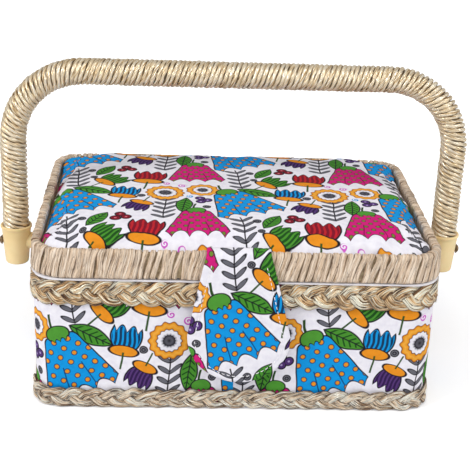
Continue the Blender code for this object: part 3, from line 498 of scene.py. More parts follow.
def printedCotton():
    # white cotton with an all-over print of garden flowers
    look = {
        "tile": (105.0, 86.0),
        "wobble": {"scale": 90.0, "reach": 1.3},
        "blue": tint(12, 150, 222), "deepBlue": tint(8, 74, 130), "magenta": tint(208, 30, 122),
        "wine": tint(126, 20, 40), "red": tint(186, 34, 44), "orange": tint(232, 146, 34),
        "green": tint(72, 144, 46), "moss": tint(30, 78, 26), "navy": tint(16, 56, 92),
        "grey": tint(104, 104, 112), "lilac": tint(204, 90, 196), "plum": tint(84, 54, 116),
    }
    cotton = Recipe("printed cotton", Roughness=0.85, Specular_IOR_Level=0.15)
    cloth = cotton.uv()
    rings = (
        (0.0, ink), (0.16, tint(90, 90, 100)), (0.3, ink), (0.34, tint(170, 170, 180)), (0.42, white),
        (0.56, white), (0.6, ink), (0.65, look["orange"]), (0.8, tint(240, 176, 66)), (0.92, look["orange"]),
        (0.97, tint(140, 76, 24)), (1.0, ink),
    )
    # each motif, its place on the tile with its turn and size, and its own measures and colours
    motifs = (
        ("curl", (-21, -38), 2.8, "lilac"),
        ("curl", (-16, 29), 2.4, "blue"),
        ("curl", (-31, -34), 2.4, "lilac"),
        ("seed", (-6, 11), 2.1, "grey", ink),
        ("seed", (24, -11), 2.2, "grey", ink),
        ("seed", (-47, 29), 2.2, "grey", ink),
        ("seed", (26, -24), 1.9, "grey", ink),
        ("sprig", (16, -23, 14), 17.5, "grey"),
        ("sprig", (-32, 9, 6), 17.5, "grey"),
        ("leaf", (27, 38, -116, 1.15), 4.8, 12.0, "green", "moss"),
        ("leaf", (-20, 14, 173), 4.8, 12.0, "green", "moss"),
        ("leaf", (33, -11, -30, 0.9), 4.8, 12.0, "green", "moss"),
        ("daisy", (-32, 35), 12.2, 14, rings),
        ("daisy", (-8, 41), 10.2, 11, rings),
        ("tulip", (-42, -19, -8, 1.3), "red", "wine", "orange"),
        ("tulip", (48, 38, -10, 1.15), "blue", "navy", "orange"),
        ("tulip", (41, -26, -46, 1.15), "green", "moss", "orange"),
        ("tulip", (-50, 9, -205), "plum", tint(50, 28, 76), "orange"),
        ("berries", (47, -9, 12), "wine", tint(214, 110, 120)),
        ("berries", (-10, 23, -93, 0.9), "plum", tint(180, 160, 210)),
        ("bell", (-12, -11, 2, 0.86), "magenta", tint(110, 140, 48), tint(110, 14, 66), tint(130, 10, 74)),
        ("bell", (15, 20, 23, 1.05), "blue", "orange", "navy", "deepBlue"),
    )
    flowers = Motifs(cotton, cloth, look["tile"], look["wobble"])
    for motif, spot, *values in motifs:
        values = [look[value] if isinstance(value, str) else value for value in values]
        getattr(flowers, motif)(flowers.spot(*spot), *values)
    threads = cotton.vector("SCALE", cloth, Scale=tau / 0.00042)
    across, up, _ = cotton.split(threads)
    weave = across.sine() * up.sine()
    uneven = cotton.noise(cloth, 260.0, 3.0)
    dye = cotton.ramp(uneven, (0.3, tint(243, 242, 246)), (0.62, tint(255, 255, 255)))
    shade = cotton.mix(flowers.colour, dye, 1.0, "MULTIPLY")
    return cotton.finish(Base_Color=shade, Normal=cotton.bump(weave * 0.4 + uneven, 0.25, 0.0002))


def liningCloth():
    lining = Recipe("lining cloth", Roughness=0.85, Sheen_Weight=0.2)
    spot = lining.here()
    threads = lining.vector("SCALE", spot, Scale=tau / 0.0006)
    x, y, z = lining.split(threads)
    weave = (x + y).sine() * z.sine()
    cloud = lining.noise(spot, 45.0, 4.0)
    colour = lining.ramp(cloud, (0.3, tint(222, 218, 224)), (0.7, tint(244, 242, 245)))
    return lining.finish(Base_Color=colour, Normal=lining.bump(weave + cloud * 2.0, 0.3, 0.0003))


def strawBraid(name, shades):
    # each strand is a handful of flat blades, some pale and shiny, some dull and brown
    straw = Recipe(name, Specular_IOR_Level=0.7, Metallic=0.25)
    u, face, number = straw.strand()
    fibres = straw.drawnOut([(u, 110.0), (face, 9.0), (number, 7.3)], 3.0, 0.7)
    blades = straw.drawnOut([(u, 52.0), (face, 3.4), (number, 3.1)], 2.0, 0.6)
    patches = straw.drawnOut([(u, 80.0), (face, 0.9), (number, 5.7)])
    slivers = (blades * 34.0).sine()
    tone = fibres * 0.4 + blades * 0.6 + patches * 0.3 + slivers * 0.05
    places = (0.508, 0.57, 0.618, 0.666, 0.72)
    colour = straw.ramp(tone, *[(place, tint(*shade)) for place, shade in zip(places, shades)])
    # painted shade: darker towards the sides of each strand, where it goes under its neighbours, and in the
    # gaps between parted blades
    edge = abs(face).maths("POWER", 6.0)
    partingShade = straw.drawnOut([(u, 130.0), (face, 1.3), (number, 2.9)], 1.0).scaled(9.0, -4.2).most(0.0)
    gap = abs(blades - 0.5).scaled(-1 / 0.045, 1.3).most(0.0) * partingShade
    # the painted shade, dark brown, laid over the straw's colour
    colour = straw.mix(colour, tint(54, 26, 8), (edge * 0.85 + gap).least(0.95))
    rough = blades.scaled(-1.0, 0.84) + edge * 0.3
    return straw.finish(Base_Color=colour, Roughness=rough, Normal=straw.bump(tone, 1.0, 0.0020))


def paperCord():
    # crumpled paper drawn into a cord: creases along it, and short deep slits where two turns part, with
    # painted shade in the slits and along the cord's sides
    paper = Recipe("paper cord", Roughness=0.65, Specular_IOR_Level=0.4)
    u, face, number = paper.strand()
    creases = paper.drawnOut([(u, 120.0), (face, 6.0), (number, 3.7)], 3.0, 0.65)
    folds = paper.drawnOut([(u, 55.0), (face, 1.9), (number, 5.1)], 1.5)
    slit = abs(folds - 0.5)
    tone = creases * 0.75 + folds * 0.25
    dark, light = (0.34, tint(160, 122, 84)), (0.7, tint(255, 250, 238))
    colour = paper.ramp(tone, dark, (0.45, tint(228, 200, 170)), (0.56, tint(247, 227, 205)), light)
    # painted shade: dark brown in the slits and towards the cord's sides, where two turns part
    parted = paper.drawnOut([(u, 95.0), (number, 2.3)], 1.0).scaled(7.0, -3.3)
    deep = slit.scaled(-1 / 0.02, 1.0).most(0.0)
    edge = abs(face).maths("POWER", 4.0) * parted.most(0.25).least(1.0)
    colour = paper.mix(colour, tint(92, 54, 16), (deep * 0.6 + edge).least(0.93))
    height = creases * 0.5 + slit.least(0.06) * 9.0
    return paper.finish(Base_Color=colour, Normal=paper.bump(height, 1.0, 0.0008))


def glossCord():
    # a loose rope of fine silky fibres, which run aslant round it
    gloss = Recipe("glossy cord", Specular_IOR_Level=0.6, Metallic=0.6)
    u, face, number = gloss.strand()
    slant = face - u * 190.0
    fibres = gloss.drawnOut([(u, 110.0), (slant, 3.2), (number, 4.1)], 2.0, 0.6)
    locks = gloss.drawnOut([(u, 90.0), (slant, 1.4), (number, 9.0)])
    tone = fibres * 0.5 + locks * 0.5
    dark, light = (0.36, tint(134, 94, 46)), (0.6, tint(252, 243, 224))
    colour = gloss.ramp(tone, dark, (0.44, tint(222, 196, 152)), (0.51, tint(246, 229, 198)), light)
    # painted shade: darker brown towards the sides of each strand, where it meets its neighbours
    parted = gloss.drawnOut([(u, 150.0), (number, 2.3)], 1.0).scaled(8.0, -3.9)
    edge = abs(face).maths("POWER", 4.0) * parted.most(0.15).least(1.0)
    colour = gloss.mix(colour, tint(78, 48, 16), edge * 0.93)
    rough = locks.scaled(-0.5, 0.57) + edge * 0.35
    return gloss.finish(Base_Color=colour, Roughness=rough, Normal=gloss.bump(tone, 1.0, 0.0010))


def mouldedPlastic(name, colour, deep, rough=0.36):
    depth = {"Subsurface_Weight": 0.12, "Subsurface_Scale": 0.004}
    plastic = Recipe(name, Roughness=rough, Specular_IOR_Level=0.45, **depth)
    spot = plastic.here()
    cloud = plastic.noise(spot, 60.0, 3.0)
    grain = plastic.noise(spot, 900.0, 2.0)
    tone = plastic.mix(deep, colour, cloud.scaled(1.6, -0.2))
    worn = cloud.scaled(0.18, rough - 0.09)
    return plastic.finish(Base_Color=tone, Roughness=worn, Normal=plastic.bump(grain, 0.08, 0.0002))


def metal(name, colour, dark, rough):
    steel = Recipe(name, Roughness=rough, Metallic=1.0)
    spot = steel.here()
    cloud = steel.noise(spot, 300.0, 4.0, 0.6)
    marks = steel.noise(steel.vector("MULTIPLY", spot, (1500.0, 300.0, 300.0)), 1.0, 2.0)
    tone = steel.mix(dark, colour, cloud.scaled(2.0, -0.5))
    worn = marks.scaled(0.3, rough - 0.15)
    return steel.finish(Base_Color=tone, Roughness=worn, Normal=steel.bump(marks, 0.1, 0.0001))


def grained(name, scale, strength, distance, *stops, **fixed):
    # one fine noise gives both the colour and the bump
    made = Recipe(name, **fixed)
    grain = made.noise(made.here(), scale, 5.0, 0.7)
    stops = [(place, tint(*shade)) for place, shade in stops]
    return made.finish(Base_Color=made.ramp(grain, *stops), Normal=made.bump(grain, strength, distance))


printed = printedCotton()
lining = liningCloth()
rimShades = (54, 26, 8), (152, 104, 52), (231, 188, 132), (253, 225, 181), (255, 250, 228)
baseShades = (44, 24, 10), (152, 116, 80), (239, 209, 173), (255, 238, 212), (255, 253, 240)
rimStraw = strawBraid("rim straw", rimShades)
baseStraw = strawBraid("base straw", baseShades)
paper = paperCord()
gloss = glossCord()
cream = mouldedPlastic("cream plastic", tint(249, 223, 170), tint(230, 198, 136))
milky = mouldedPlastic("milky plastic", tint(236, 240, 244), tint(206, 214, 224), 0.25)
darkSteel = metal("dark steel", tint(120, 112, 104), tint(54, 50, 48), 0.34)
agedBrass = metal("aged brass", tint(176, 150, 116), tint(92, 72, 52), 0.42)
brassed = metal("brassed steel", tint(214, 180, 104), tint(150, 112, 54), 0.3)
boardStops = (0.35, (128, 108, 82)), (0.5, (158, 138, 108)), (0.7, (190, 172, 140))
board = grained("pressed board", 400.0, 0.3, 0.0004, *boardStops, Roughness=0.85)
feltStops = (0.35, (150, 20, 66)), (0.6, (206, 40, 96)), (0.75, (226, 80, 128))
felt = grained("pin felt", 1400.0, 0.7, 0.0006, *feltStops, Roughness=0.95, Sheen_Weight=0.5)
print("materials made")


# ---- camera, light and floor ----
view = {
    "place": (-0.03808, -0.69415, 0.36583),
    "right": (0.99837, -0.04177, 0.03888),
    "up": (-0.01997, 0.38253, 0.92373),
    "back": (-0.05346, -0.92300, 0.38107),
    "lens": 89.07,
}
camera = addPiece("camera", bpy.data.cameras.new("camera"))
camera.data.lens = view["lens"]
camera.data.sensor_width = 36.0
camera.data.clip_start, camera.data.clip_end = 0.05, 20.0
turn = Matrix((view["right"], view["up"], view["back"])).transposed().to_4x4()
camera.matrix_world = Matrix.Translation(view["place"]) @ turn
bpy.context.scene.camera = camera

studio = {
    "lamps": (
        # name, compass angle from the front, elevation, distance, side length, watts
        ("left lamp", -58, 34, 1.15, 0.26, 4.9),
        ("right lamp", 60, 34, 1.15, 0.26, 3.5),
    ),
    "sun": {"compass": -10, "elevation": 60, "power": 0.73, "angle": 60},
    "aim": 0.08,  # the height that the lamps look at
    "sky": 0.44,
    "floor": {"near": 0.16, "far": 0.42, "least": 0.27, "most": 0.6, "reach": 6.0},
}


def shineFrom(name, light, compass, elevation, distance):
    turn, rise = math.radians(compass), math.radians(elevation)
    away = Vector((math.sin(turn) * math.cos(rise), -math.cos(turn) * math.cos(rise), math.sin(rise)))
    holder = addPiece(name, light)
    holder.location = Vector((0, 0, studio["aim"])) + away * distance
    holder.rotation_euler = (-away).to_track_quat("-Z", "Y").to_euler()


for name, compass, elevation, distance, side, watts in studio["lamps"]:
    lamp = bpy.data.lights.new(name, "AREA")
    lamp.size, lamp.energy = side, watts
    shineFrom(name, lamp, compass, elevation, distance)
sun = bpy.data.lights.new("sun", "SUN")
sun.energy, sun.angle = studio["sun"]["power"], math.radians(studio["sun"]["angle"])
shineFrom("sun", sun, studio["sun"]["compass"], studio["sun"]["elevation"], 2.0)
world = bpy.data.worlds.new("studio")
bpy.context.scene.world = world
world.use_nodes = True
skyLight = world.node_tree.nodes["Background"]
skyLight.inputs["Color"].default_value = (1, 1, 1, 1)
skyLight.inputs["Strength"].default_value = studio["sky"]
bpy.context.scene.view_settings.view_transform = "Standard"

floorMesh = bpy.data.meshes.new("floor")
reach = studio["floor"]["reach"]
corners = [(x * reach, y * reach, 0) for x, y in ((-1, -1), (1, -1), (1, 1), (-1, 1))]
floorMesh.from_pydata(corners, [], [(0, 1, 2, 3)])
floor = addPiece("floor", floorMesh)
# white paper, and brighter for the camera alone, more so with the distance from the object
ground = Recipe("floor", Roughness=0.9, Specular_IOR_Level=0.0, Emission_Strength=1.0)
seen = ground.node("ShaderNodeLightPath", {}, {}, "Is Camera Ray")
away = ground.vector("LENGTH", ground.here(), output="Value")
limits = [studio["floor"][key] for key in ("near", "far", "least", "most")]
spread = ground.node("ShaderNodeMapRange", {}, dict(enumerate([away, *limits])))
ground.shader.inputs["Base Color"].default_value = tint(247, 247, 248)
glow = ground.mix((0, 0, 0, 1), (1, 1, 1, 1), spread * seen)
floorMesh.materials.append(ground.finish(Emission_Color=glow))
floor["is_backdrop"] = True
print("camera and light set")


# ---- places taken from the CAD ----
def planOf(node, corner):
    low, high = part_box(node)
    return ((high.x - low.x) / 2, (high.y - low.y) / 2, corner)


lidPlan = planOf("lid_winding", 0.020)
hoopLow, hoopHigh = (corner.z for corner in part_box("lid_winding"))
braidPlan = planOf("base_braid", 0.018)
clothPlan = planOf("body_fabric", 0.0159)
coreLow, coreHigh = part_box("handle_core")


# ---- the two straw braids ----
braids = {
    "rim": {"node": "rim_braid", "straw": rimStraw, "lead": 0.0310, "seed": 3, "swell": 1.0},
    "base": {"node": "base_braid", "straw": baseStraw, "lead": 0.0345, "seed": 8, "swell": 0.95},
    "inset": 0.0018,
    "strandShare": 0.47,  # strand width over the braid's height
    "thick": 0.0015,
    "over": 0.00065,
    "wander": 0.0006,  # how far a strand strays lengthwise, upwards, outwards, and in its phase
    "stray": 0.0004,
    "fray": 0.00012,
    "late": 0.22,
    "uneven": 0.13,
    "soft": 0.0018,  # below this height a strand is pressed flat on the table
    "blades": 6,
    "across": 31,  # points over the outer face
    "stations": 20,
}


def braidMesh(name, low, high, look, shared):
    # A flat plait of three strands: the height goes as the sine of the way along and the depth as the sine of
    # twice that, a third of a round apart. A strand's section is a flat oval across its own direction, its
    # face in ridges, one for each blade, and each of its own height that changes along the strand.
    height = high - low
    half = height * shared["strandShare"] / 2
    swing = height / 2 - half * 0.8
    plan = inset(braidPlan, shared["inset"])
    total = lineLength(plan)
    leads = round(total / look["lead"])
    count = leads * shared["stations"]
    share = np.arange(count) / count
    faceTurn = np.arccos(np.linspace(1, -1, shared["across"]))
    turn = np.concatenate([faceTurn, np.linspace(math.pi, tau, 6)[1:-1]])
    oval = np.abs(np.sin(turn)) ** 0.8 * np.sign(np.sin(turn))
    middle = shared["thick"] / 2 + shared["over"] - 0.00046
    strands = []
    for strand in range(3):
        seed = look["seed"] + strand
        drift = wave(share, seed, (7, 19, 41, 67, 131))
        along = share * total + shared["wander"] * wave(share, seed + 9, (11, 31, 53))
        phase = tau * (leads * share + strand / 3)
        phase = phase + shared["late"] * wave(share, seed + 40, (17, 29, 47, 83))
        z = (low + high) / 2 + swing * np.sin(phase) + shared["stray"] * drift
        out = shared["over"] * np.sin(2 * phase) + shared["fray"] * wave(share, seed + 5, (23, 61))
        slopeZ = swing * np.cos(phase) * tau * leads / total
        size = 1 / np.sqrt(1 + slopeZ**2)
        width = half * look["swell"] * (1 + shared["uneven"] * wave(share, seed + 20, (13, 37, 71, 113)))
        print(f"{name}: strand {strand + 1} is {np.hypot(np.diff(along), np.diff(z)).sum():.3f} m long")
        drift, late = drift[:, None], phase[:, None]
        sideways = np.cos(turn) * width[:, None]
        place = (np.cos(turn) + 1) / 2 * shared["blades"] + 0.8 * drift + 0.25 * late
        blade = np.floor(place)
        ridge = np.sqrt(np.clip(4 * (place - blade) * (1 - place + blade), 0, 1))
        own = np.sin(blade * 2.4 + strand * 1.3 + 0.9 * late + 1.7 * drift)
        lift = oval * (shared["thick"] / 2) * (0.62 + 0.28 * ridge + 0.24 * own)
        across = along[:, None] - sideways * (slopeZ * size)[:, None]
        up = z[:, None] + sideways * size[:, None]
        soft = shared["soft"]
        up = np.where(up < soft, soft * np.exp(np.minimum(up / soft, 1.0) - 1), up)
        strands.append(onWall(plan, across, middle + out[:, None] + lift, up))
    rounds = np.append(turn / tau, 1.0) * 0.999
    uv = np.stack([cordUv(np.linspace(0, total, count + 1), rounds, strand) for strand in range(3)])
    return makeMesh(name, [grid(np.stack(strands), uv, closedLong=True)], 180)


for key in ("rim", "base"):
    look = braids[key]
    low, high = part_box(look["node"])
    braid = braidMesh(f"{key}Braid", low.z, high.z, look, braids)
    dress(braid, look["straw"], "root", "straw_braid", look["node"])


# ---- printed cloth round the box ----
wrap = {
    "steps": 360,
    "levels": 24,
    "thick": 0.0007,
    "ripple": 0.00022,
    "bulge": 0.0006,
    "shift": (0.067, -0.010),  # what part of the print comes to the front's middle
}


def wrapMesh(look):
    # A thin wall round the box: its outer face stands out by a small ripple of the way round and of the
    # height, and bulges at the two sides by the sine of the height's share.
    low, high = (corner.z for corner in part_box("body_fabric"))
    total = lineLength(clothPlan)
    share = np.arange(look["steps"]) / look["steps"]
    level = np.linspace(0, 1, look["levels"])
    ripple = wave(share, 4, (5, 9, 17, 31))[:, None] * np.sin(math.pi * level) * look["ripple"]
    ripple += wave(share, 14, (3, 8, 23))[:, None] * np.sin(2 * math.pi * level) * look["ripple"] * 0.6
    _, _, normalX, _ = roundedLine(clothPlan, share * total)
    ripple += look["bulge"] * (normalX**2)[:, None] * np.sin(math.pi * level)
    z = low + (high - low) * level
    outer = onWall(clothPlan, share[:, None] * total + 0 * z, ripple, z)
    inner = onWall(clothPlan, share[:, None] * total + 0 * z, ripple - look["thick"], z)
    ring = np.concatenate([outer, inner[:, ::-1]], 1)
    heights = np.concatenate([z, z[::-1], z[:1]])
    long, up = np.meshgrid(np.linspace(0, total, look["steps"] + 1), heights, indexing="ij")
    uv = np.stack([long, up], -1) + look["shift"]
    return makeMesh("boxCloth", [grid(ring, uv, closedLong=True)]), total, high - low


boxCloth, around, tall = wrapMesh(wrap)
dress(boxCloth, printed, "root", "printed_cotton", "body_fabric")

# ---- lining cup with its turned-out lip ----
cup = {"steps": 240, "lipOut": 0.0010, "sideIn": 0.0014, "lipRound": 0.00075, "pucker": 0.00012}


def ringMesh(name, plan, section, wavy, ripple, sideIn=0.0):
    # Rings of a plan as one closed skin, each at its own inset and height. The wavy ones stand out by a
    # ripple of the way round, and come in at the two sides by the square of their normal's x.
    share = np.arange(len(ripple)) / len(ripple)
    rows = []
    for number, (depth, z) in enumerate(section):
        ring = inset(plan, depth)
        along = share * lineLength(ring)
        out = ripple - sideIn * roundedLine(ring, along)[2] ** 2 if number in wavy else 0 * share
        rows.append(onWall(ring, along, out, z))
    return makeMesh(name, [grid(np.stack(rows), capped=True)], 60)


def closedCup(look):
    # The cup's inside and lip, closed by an underside a cloth's thickness below it.
    low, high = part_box("body_lining")
    plan = planOf("body_lining", 0.0177)
    radius = look["lipRound"]
    wall = plan[0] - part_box("box_wall")[1].x + 0.0033
    section = [(wall, low.z), (wall, high.z - 2 * radius)]
    for angle in np.linspace(-math.pi / 2, math.pi / 2, 7):
        depth = radius * (1 - math.cos(angle)) - look["lipOut"]
        section.append((depth, high.z - radius + radius * math.sin(angle)))
    section += [(wall - 0.0004, high.z), (wall + 0.0005, high.z - 0.0004)]
    section += [(wall + 0.0008, z) for z in np.linspace(high.z - 0.002, low.z + 0.004, 8)]
    section += [(wall + 0.0014, low.z + 0.0014), (wall + 0.004, low.z + 0.0008)]
    ripple = look["pucker"] * wave(np.arange(look["steps"]) / look["steps"], 33, (37, 61, 89))
    return ringMesh("liningCup", plan, section, range(2, 10), ripple, look["sideIn"])


liningCup = closedCup(cup)
dress(liningCup, lining, "root", "lining", "body_lining")
baseCover = addPiece("baseCover", nodes["base_cover"].data.copy())
dress(baseCover, lining, "root", "lining", "base_cover")


# ---- paper cord wound round the lid's hoop ----
hoopCord = {
    "board": 0.005,  # the hoop's own thickness and the bend of its edges
    "bend": 0.0013,
    "pitch": 0.00405,
    "steps": 31,
    "around": 16,
    "thick": 0.00135,
    "cover": 0.98,  # cord width over the pitch
    "stray": 0.00040,
    "flare": 0.0010,  # how far the lower edge of the hoop's two sides stands out
    "bead": 0.7,  # how much fuller the cord stands along the hoop's upper edge
    "seed": 12,
}


def hoopPath(look):
    # Once round the hoop's section, a rounded rectangle: depth in from its face, height, share of the advance
    skin = look["thick"] / 2
    top, rear = hoopHigh - hoopLow - skin, look["board"] - skin
    corners = np.array([(skin, skin), (skin, top), (rear, top), (rear, skin)])
    bendR = look["bend"] - skin / 2
    line = []
    for number, corner in enumerate(corners):
        before, after = unit(np.array([corners[number - 1], corners[(number + 1) % 4]]) - corner)
        middle = corner + bendR * (before + after)
        for angle in np.linspace(0, math.pi / 2, 5):
            line.append(middle - bendR * (after * math.cos(angle) + before * math.sin(angle)))
    line = np.array(line)
    closed = np.concatenate([line, line[:1]])
    length = runAlong(closed)
    stops = np.linspace(0, length[-1], look["steps"], endpoint=False)
    depth = np.interp(stops, length, closed[:, 0])
    height = np.interp(stops, length, closed[:, 1])
    outerFace = np.where(depth < skin * 2.2, 1.0, 0.12)
    advance = np.concatenate([[0], np.cumsum(outerFace)])
    return depth, height, advance[:-1] / advance[-1], length[-1]


def hoopCordMesh(look):
    # One cord wound as a helix: it goes round the section while it goes along the hoop, most of its advance
    # on the outer face. Across it the section is a bulge, cut by a fold that twists along the cord.
    depth, height, advance, roundLength = hoopPath(look)
    total = lineLength(lidPlan)
    turns = round(total / look["pitch"])
    pitch = total / turns
    steps = look["steps"]
    count = turns * steps
    step = np.arange(count)
    which = step // steps
    dice = np.random.default_rng(look["seed"])
    stray = dice.normal(0, 1, (turns, 4)) * look["stray"]
    fat = 1 + dice.normal(0, 0.16, turns)
    phase = step % steps / steps
    sway = stray[which, 0] * np.sin(tau * phase) + stray[which, 1] * np.cos(tau * phase)
    sway += stray[which, 2] * 0.6 * np.sin(2 * tau * phase)
    sway *= np.where(np.tile(depth, turns) < 0.0015, 1.0, 0.4)
    along = (which + advance[step % steps]) * pitch + sway
    deep = np.tile(depth, turns)
    up = hoopLow + np.tile(height, turns)
    smoothFat = np.interp(step / steps, np.arange(turns) + 0.5, fat)
    share = step / count
    twist = np.cumsum(np.full(count, roundLength / steps)) * 240 + 3 * wave(share, 5, (97, 151, 211))
    centreZ = (hoopLow + hoopHigh) / 2
    # outward direction in the section's plane, from the middle of the board to the cord
    outDepth, outUp = -(deep - 0.0025), up - centreZ
    onFace = (np.abs(outDepth) > 0.0017) & (np.abs(outUp) < 0.0066)
    outUp = np.where(onFace, 0, outUp - np.sign(outUp) * 0.0066)
    norm = np.hypot(outDepth, outUp)
    outDepth, outUp = outDepth / norm, outUp / norm
    turn = np.linspace(0, tau, look["around"], endpoint=False)
    width = pitch * look["cover"] / 2 * smoothFat
    bulge = np.abs(np.sin(turn))[None] ** 0.55 * np.sign(np.sin(turn))[None]
    crease = 0.55 * np.sin(twist) + 0.25 * wave(share, 15, (301, 467, 599))
    other = crease + 0.75 * np.sign(wave(share, 16, (61, 103)))
    fold = np.exp(-(((np.cos(turn) - crease[:, None]) / 0.17) ** 2))
    fold += 0.7 * np.exp(-(((np.cos(turn) - other[:, None]) / 0.15) ** 2))
    lift = bulge * look["thick"] / 2 * (1.15 - 0.5 * fold) * smoothFat[:, None]
    lift *= 1 + look["bead"] * np.clip((up - hoopHigh + 0.003) / 0.0025, 0, 1)[:, None]
    shift = np.cos(turn)[None] * width[:, None]
    _, _, normalX, _ = roundedLine(lidPlan, along)
    fallen = np.clip((hoopHigh - up) / (hoopHigh - hoopLow), 0, 1)
    flare = look["flare"] * normalX**2 * fallen * (deep < 0.002)
    out = (flare - deep)[:, None] + lift * outDepth[:, None]
    points = onWall(lidPlan, along[:, None] + shift, out, up[:, None] + lift * outUp[:, None])
    number = np.concatenate([which, [turns - 1]])[:, None]
    rounds = np.linspace(0, 0.999, look["around"] + 1)
    uv = cordUv(np.arange(count + 1) * roundLength / steps, rounds, number)
    print(f"hoopCord: {turns} turns, {turns * math.hypot(roundLength, pitch):.2f} m of cord")
    return makeMesh("hoopCord", [grid(points, uv, closedLong=True)], 180)


dress(hoopCordMesh(hoopCord), paper, "lid", "paper_cord", "lid_winding")

# ---- padded lid ----
pad = {
    "columns": 96,
    "rows": 70,
    "corner": 0.015,
    "side": 0.0035,
    "reach": 0.046,
    "tuck": 0.0012,
    "slack": -0.03,
    "pressure": 3.0,
    "frames": 16,
    "pinned": 0.0024,  # the foot's height that the simulation leaves in place
    "cap": 0.0018,
    "level": 0.1015,  # under this height the gap to the hoop closes, over this range
    "closing": 0.003,
    "crease": 0.0011,  # gap between the pad and the hoop's upper edge
    "shift": (0.012, 0.045),
}


def insideDepth(x, y, plan):
    # how far a point lies inside a rounded rectangle
    halfX, halfY, corner = plan
    overX, overY = np.abs(x) - (halfX - corner), np.abs(y) - (halfY - corner)
    outside = np.hypot(np.maximum(overX, 0), np.maximum(overY, 0))
    return corner - outside - np.minimum(np.maximum(overX, overY), 0)


def crowded(count, share):
    # places from -1 to 1 that stand closer towards both ends: the sine of a share of a right angle
    return np.sin(np.linspace(-1, 1, count) * math.pi / 2 * share) / math.sin(math.pi / 2 * share)


def padGrid(look, plan):
    # A grid over the rounded rectangle: in each corner a square of it is drawn in to a quarter circle.
    halfX, halfY, corner = plan
    placesX, placesY = crowded(look["columns"], 0.86), crowded(look["rows"], 0.8)
    x, y = np.meshgrid(placesX * halfX, placesY * halfY, indexing="ij")
    overX, overY = np.abs(x) - (halfX - corner), np.abs(y) - (halfY - corner)
    inCorner = (overX > 0) & (overY > 0)
    square = np.maximum(overX, overY)
    share = np.where(inCorner, square / np.maximum(np.hypot(overX, overY), 1e-9), 1)
    x = np.where(inCorner, np.sign(x) * (halfX - corner + overX * share), x)
    y = np.where(inCorner, np.sign(y) * (halfY - corner + overY * share), y)
    return x, y


def cushionMesh(name, top, foot, uv):
    # a face and the face opposite, joined by a strip between their edges
    faces = [grid(face, uv, closedRound=False) for face in (top, foot)]
    return makeMesh(name, [*faces, padSide(top, foot, uv)], 180)


def padMesh(look):
    # The top rises over the depth from the edge, as a power of one less the cube of what is left; foot flat.
    low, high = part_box("lid_pad")
    plan = (high.x, high.y, look["corner"])
    x, y = padGrid(look, plan)
    depth = np.clip(insideDepth(x, y, plan), 0, None)
    share = np.clip(depth / look["reach"], 0, 1) ** (1 / 1.5)
    rise = (1 - (1 - share) ** 3) ** 0.8
    top = low.z + look["side"] + (high.z - low.z - look["side"]) * rise
    upper = np.stack([x * (1 - look["crease"] / plan[0]), y * (1 - look["crease"] / plan[1]), top], -1)
    lower = np.stack([x * (1 - look["tuck"] / plan[0]), y * (1 - look["tuck"] / plan[1]), 0 * x + low.z], -1)
    spread = 1 + 0.012 * rise
    uv = np.stack([x * spread, y * spread], -1) + look["shift"]
    return cushionMesh("lidPad", upper, lower, uv), plan, low.z


def padSide(upper, lower, uv):
    # the strip between the edge of the top and the edge of the foot
    def edge(array):
        return np.concatenate([array[:-1, 0], array[-1, :-1], array[:0:-1, -1], array[0, :0:-1]])

    strip = np.stack([edge(upper), edge(upper) * 0.35 + edge(lower) * 0.65, edge(lower)], 1)
    flat = edge(uv)
    flat = np.concatenate([flat, flat[:1]])
    middle = flat * 1.01
    return grid(strip, np.stack([flat, middle, flat * 1.02], 1), closedLong=True, closedRound=False)


clothSettings = {
    "quality": 5,
    "mass": 0.2,
    "tension_stiffness": 12.0,
    "compression_stiffness": 12.0,
    "shear_stiffness": 6.0,
    "bending_stiffness": 0.4,
    "vertex_group_mass": "pinned",
    "use_pressure": True,
    "uniform_pressure_force": pad["pressure"],
    "shrink_min": pad["slack"],
}


def stuff(piece, look, foot):
    # Blender's Cloth blows the piece up: loose cloth under pressure, its foot pinned, every move capped.
    before = np.array([vertex.co for vertex in piece.data.vertices])
    pinned = piece.vertex_groups.new(name="pinned")
    pinned.add(np.nonzero(before[:, 2] < foot + look["pinned"])[0].tolist(), 1.0, "REPLACE")
    cloth = piece.modifiers.new("cloth", "CLOTH")
    for setting, value in clothSettings.items():
        setattr(cloth.settings, setting, value)
    cloth.settings.effector_weights.gravity = 0
    cloth.collision_settings.use_collision = False
    cloth.point_cache.frame_start, cloth.point_cache.frame_end = 1, look["frames"]
    for number in range(1, look["frames"] + 1):
        bpy.context.scene.frame_set(number)
    shaped = piece.evaluated_get(bpy.context.evaluated_depsgraph_get())
    after = np.array([vertex.co for vertex in shaped.to_mesh().vertices])
    shaped.to_mesh_clear()
    piece.modifiers.remove(cloth)
    bpy.context.scene.frame_set(1)
    move = after - before
    far = np.linalg.norm(move, axis=1, keepdims=True)
    move *= np.minimum(1, look["cap"] / np.maximum(far, 1e-9))
    print(f"{piece.name}: cloth moved up to {1000 * far.max():.1f} mm, capped at {1000 * look['cap']:.1f}")
    return before + move


lidPad, padPlan, padFoot = padMesh(pad)
stuffed = stuff(lidPad, pad, padFoot)
# below the hoop's top the cloth stays inside the hoop
over = pad["crease"] - insideDepth(stuffed[:, 0], stuffed[:, 1], padPlan)
over -= pad["crease"] * np.clip((pad["level"] - stuffed[:, 2]) / pad["closing"], 0, 1)
low = stuffed[:, 2] < hoopHigh + 0.002
draw = np.where(low, np.maximum(over, 0), 0)
stuffed[:, 0] -= np.sign(stuffed[:, 0]) * draw
stuffed[:, 1] -= np.sign(stuffed[:, 1]) * draw
lidPad.data.vertices.foreach_set("co", stuffed.astype(np.float32).ravel())
dress(lidPad, printed, "lid", "printed_cotton", "lid_pad")

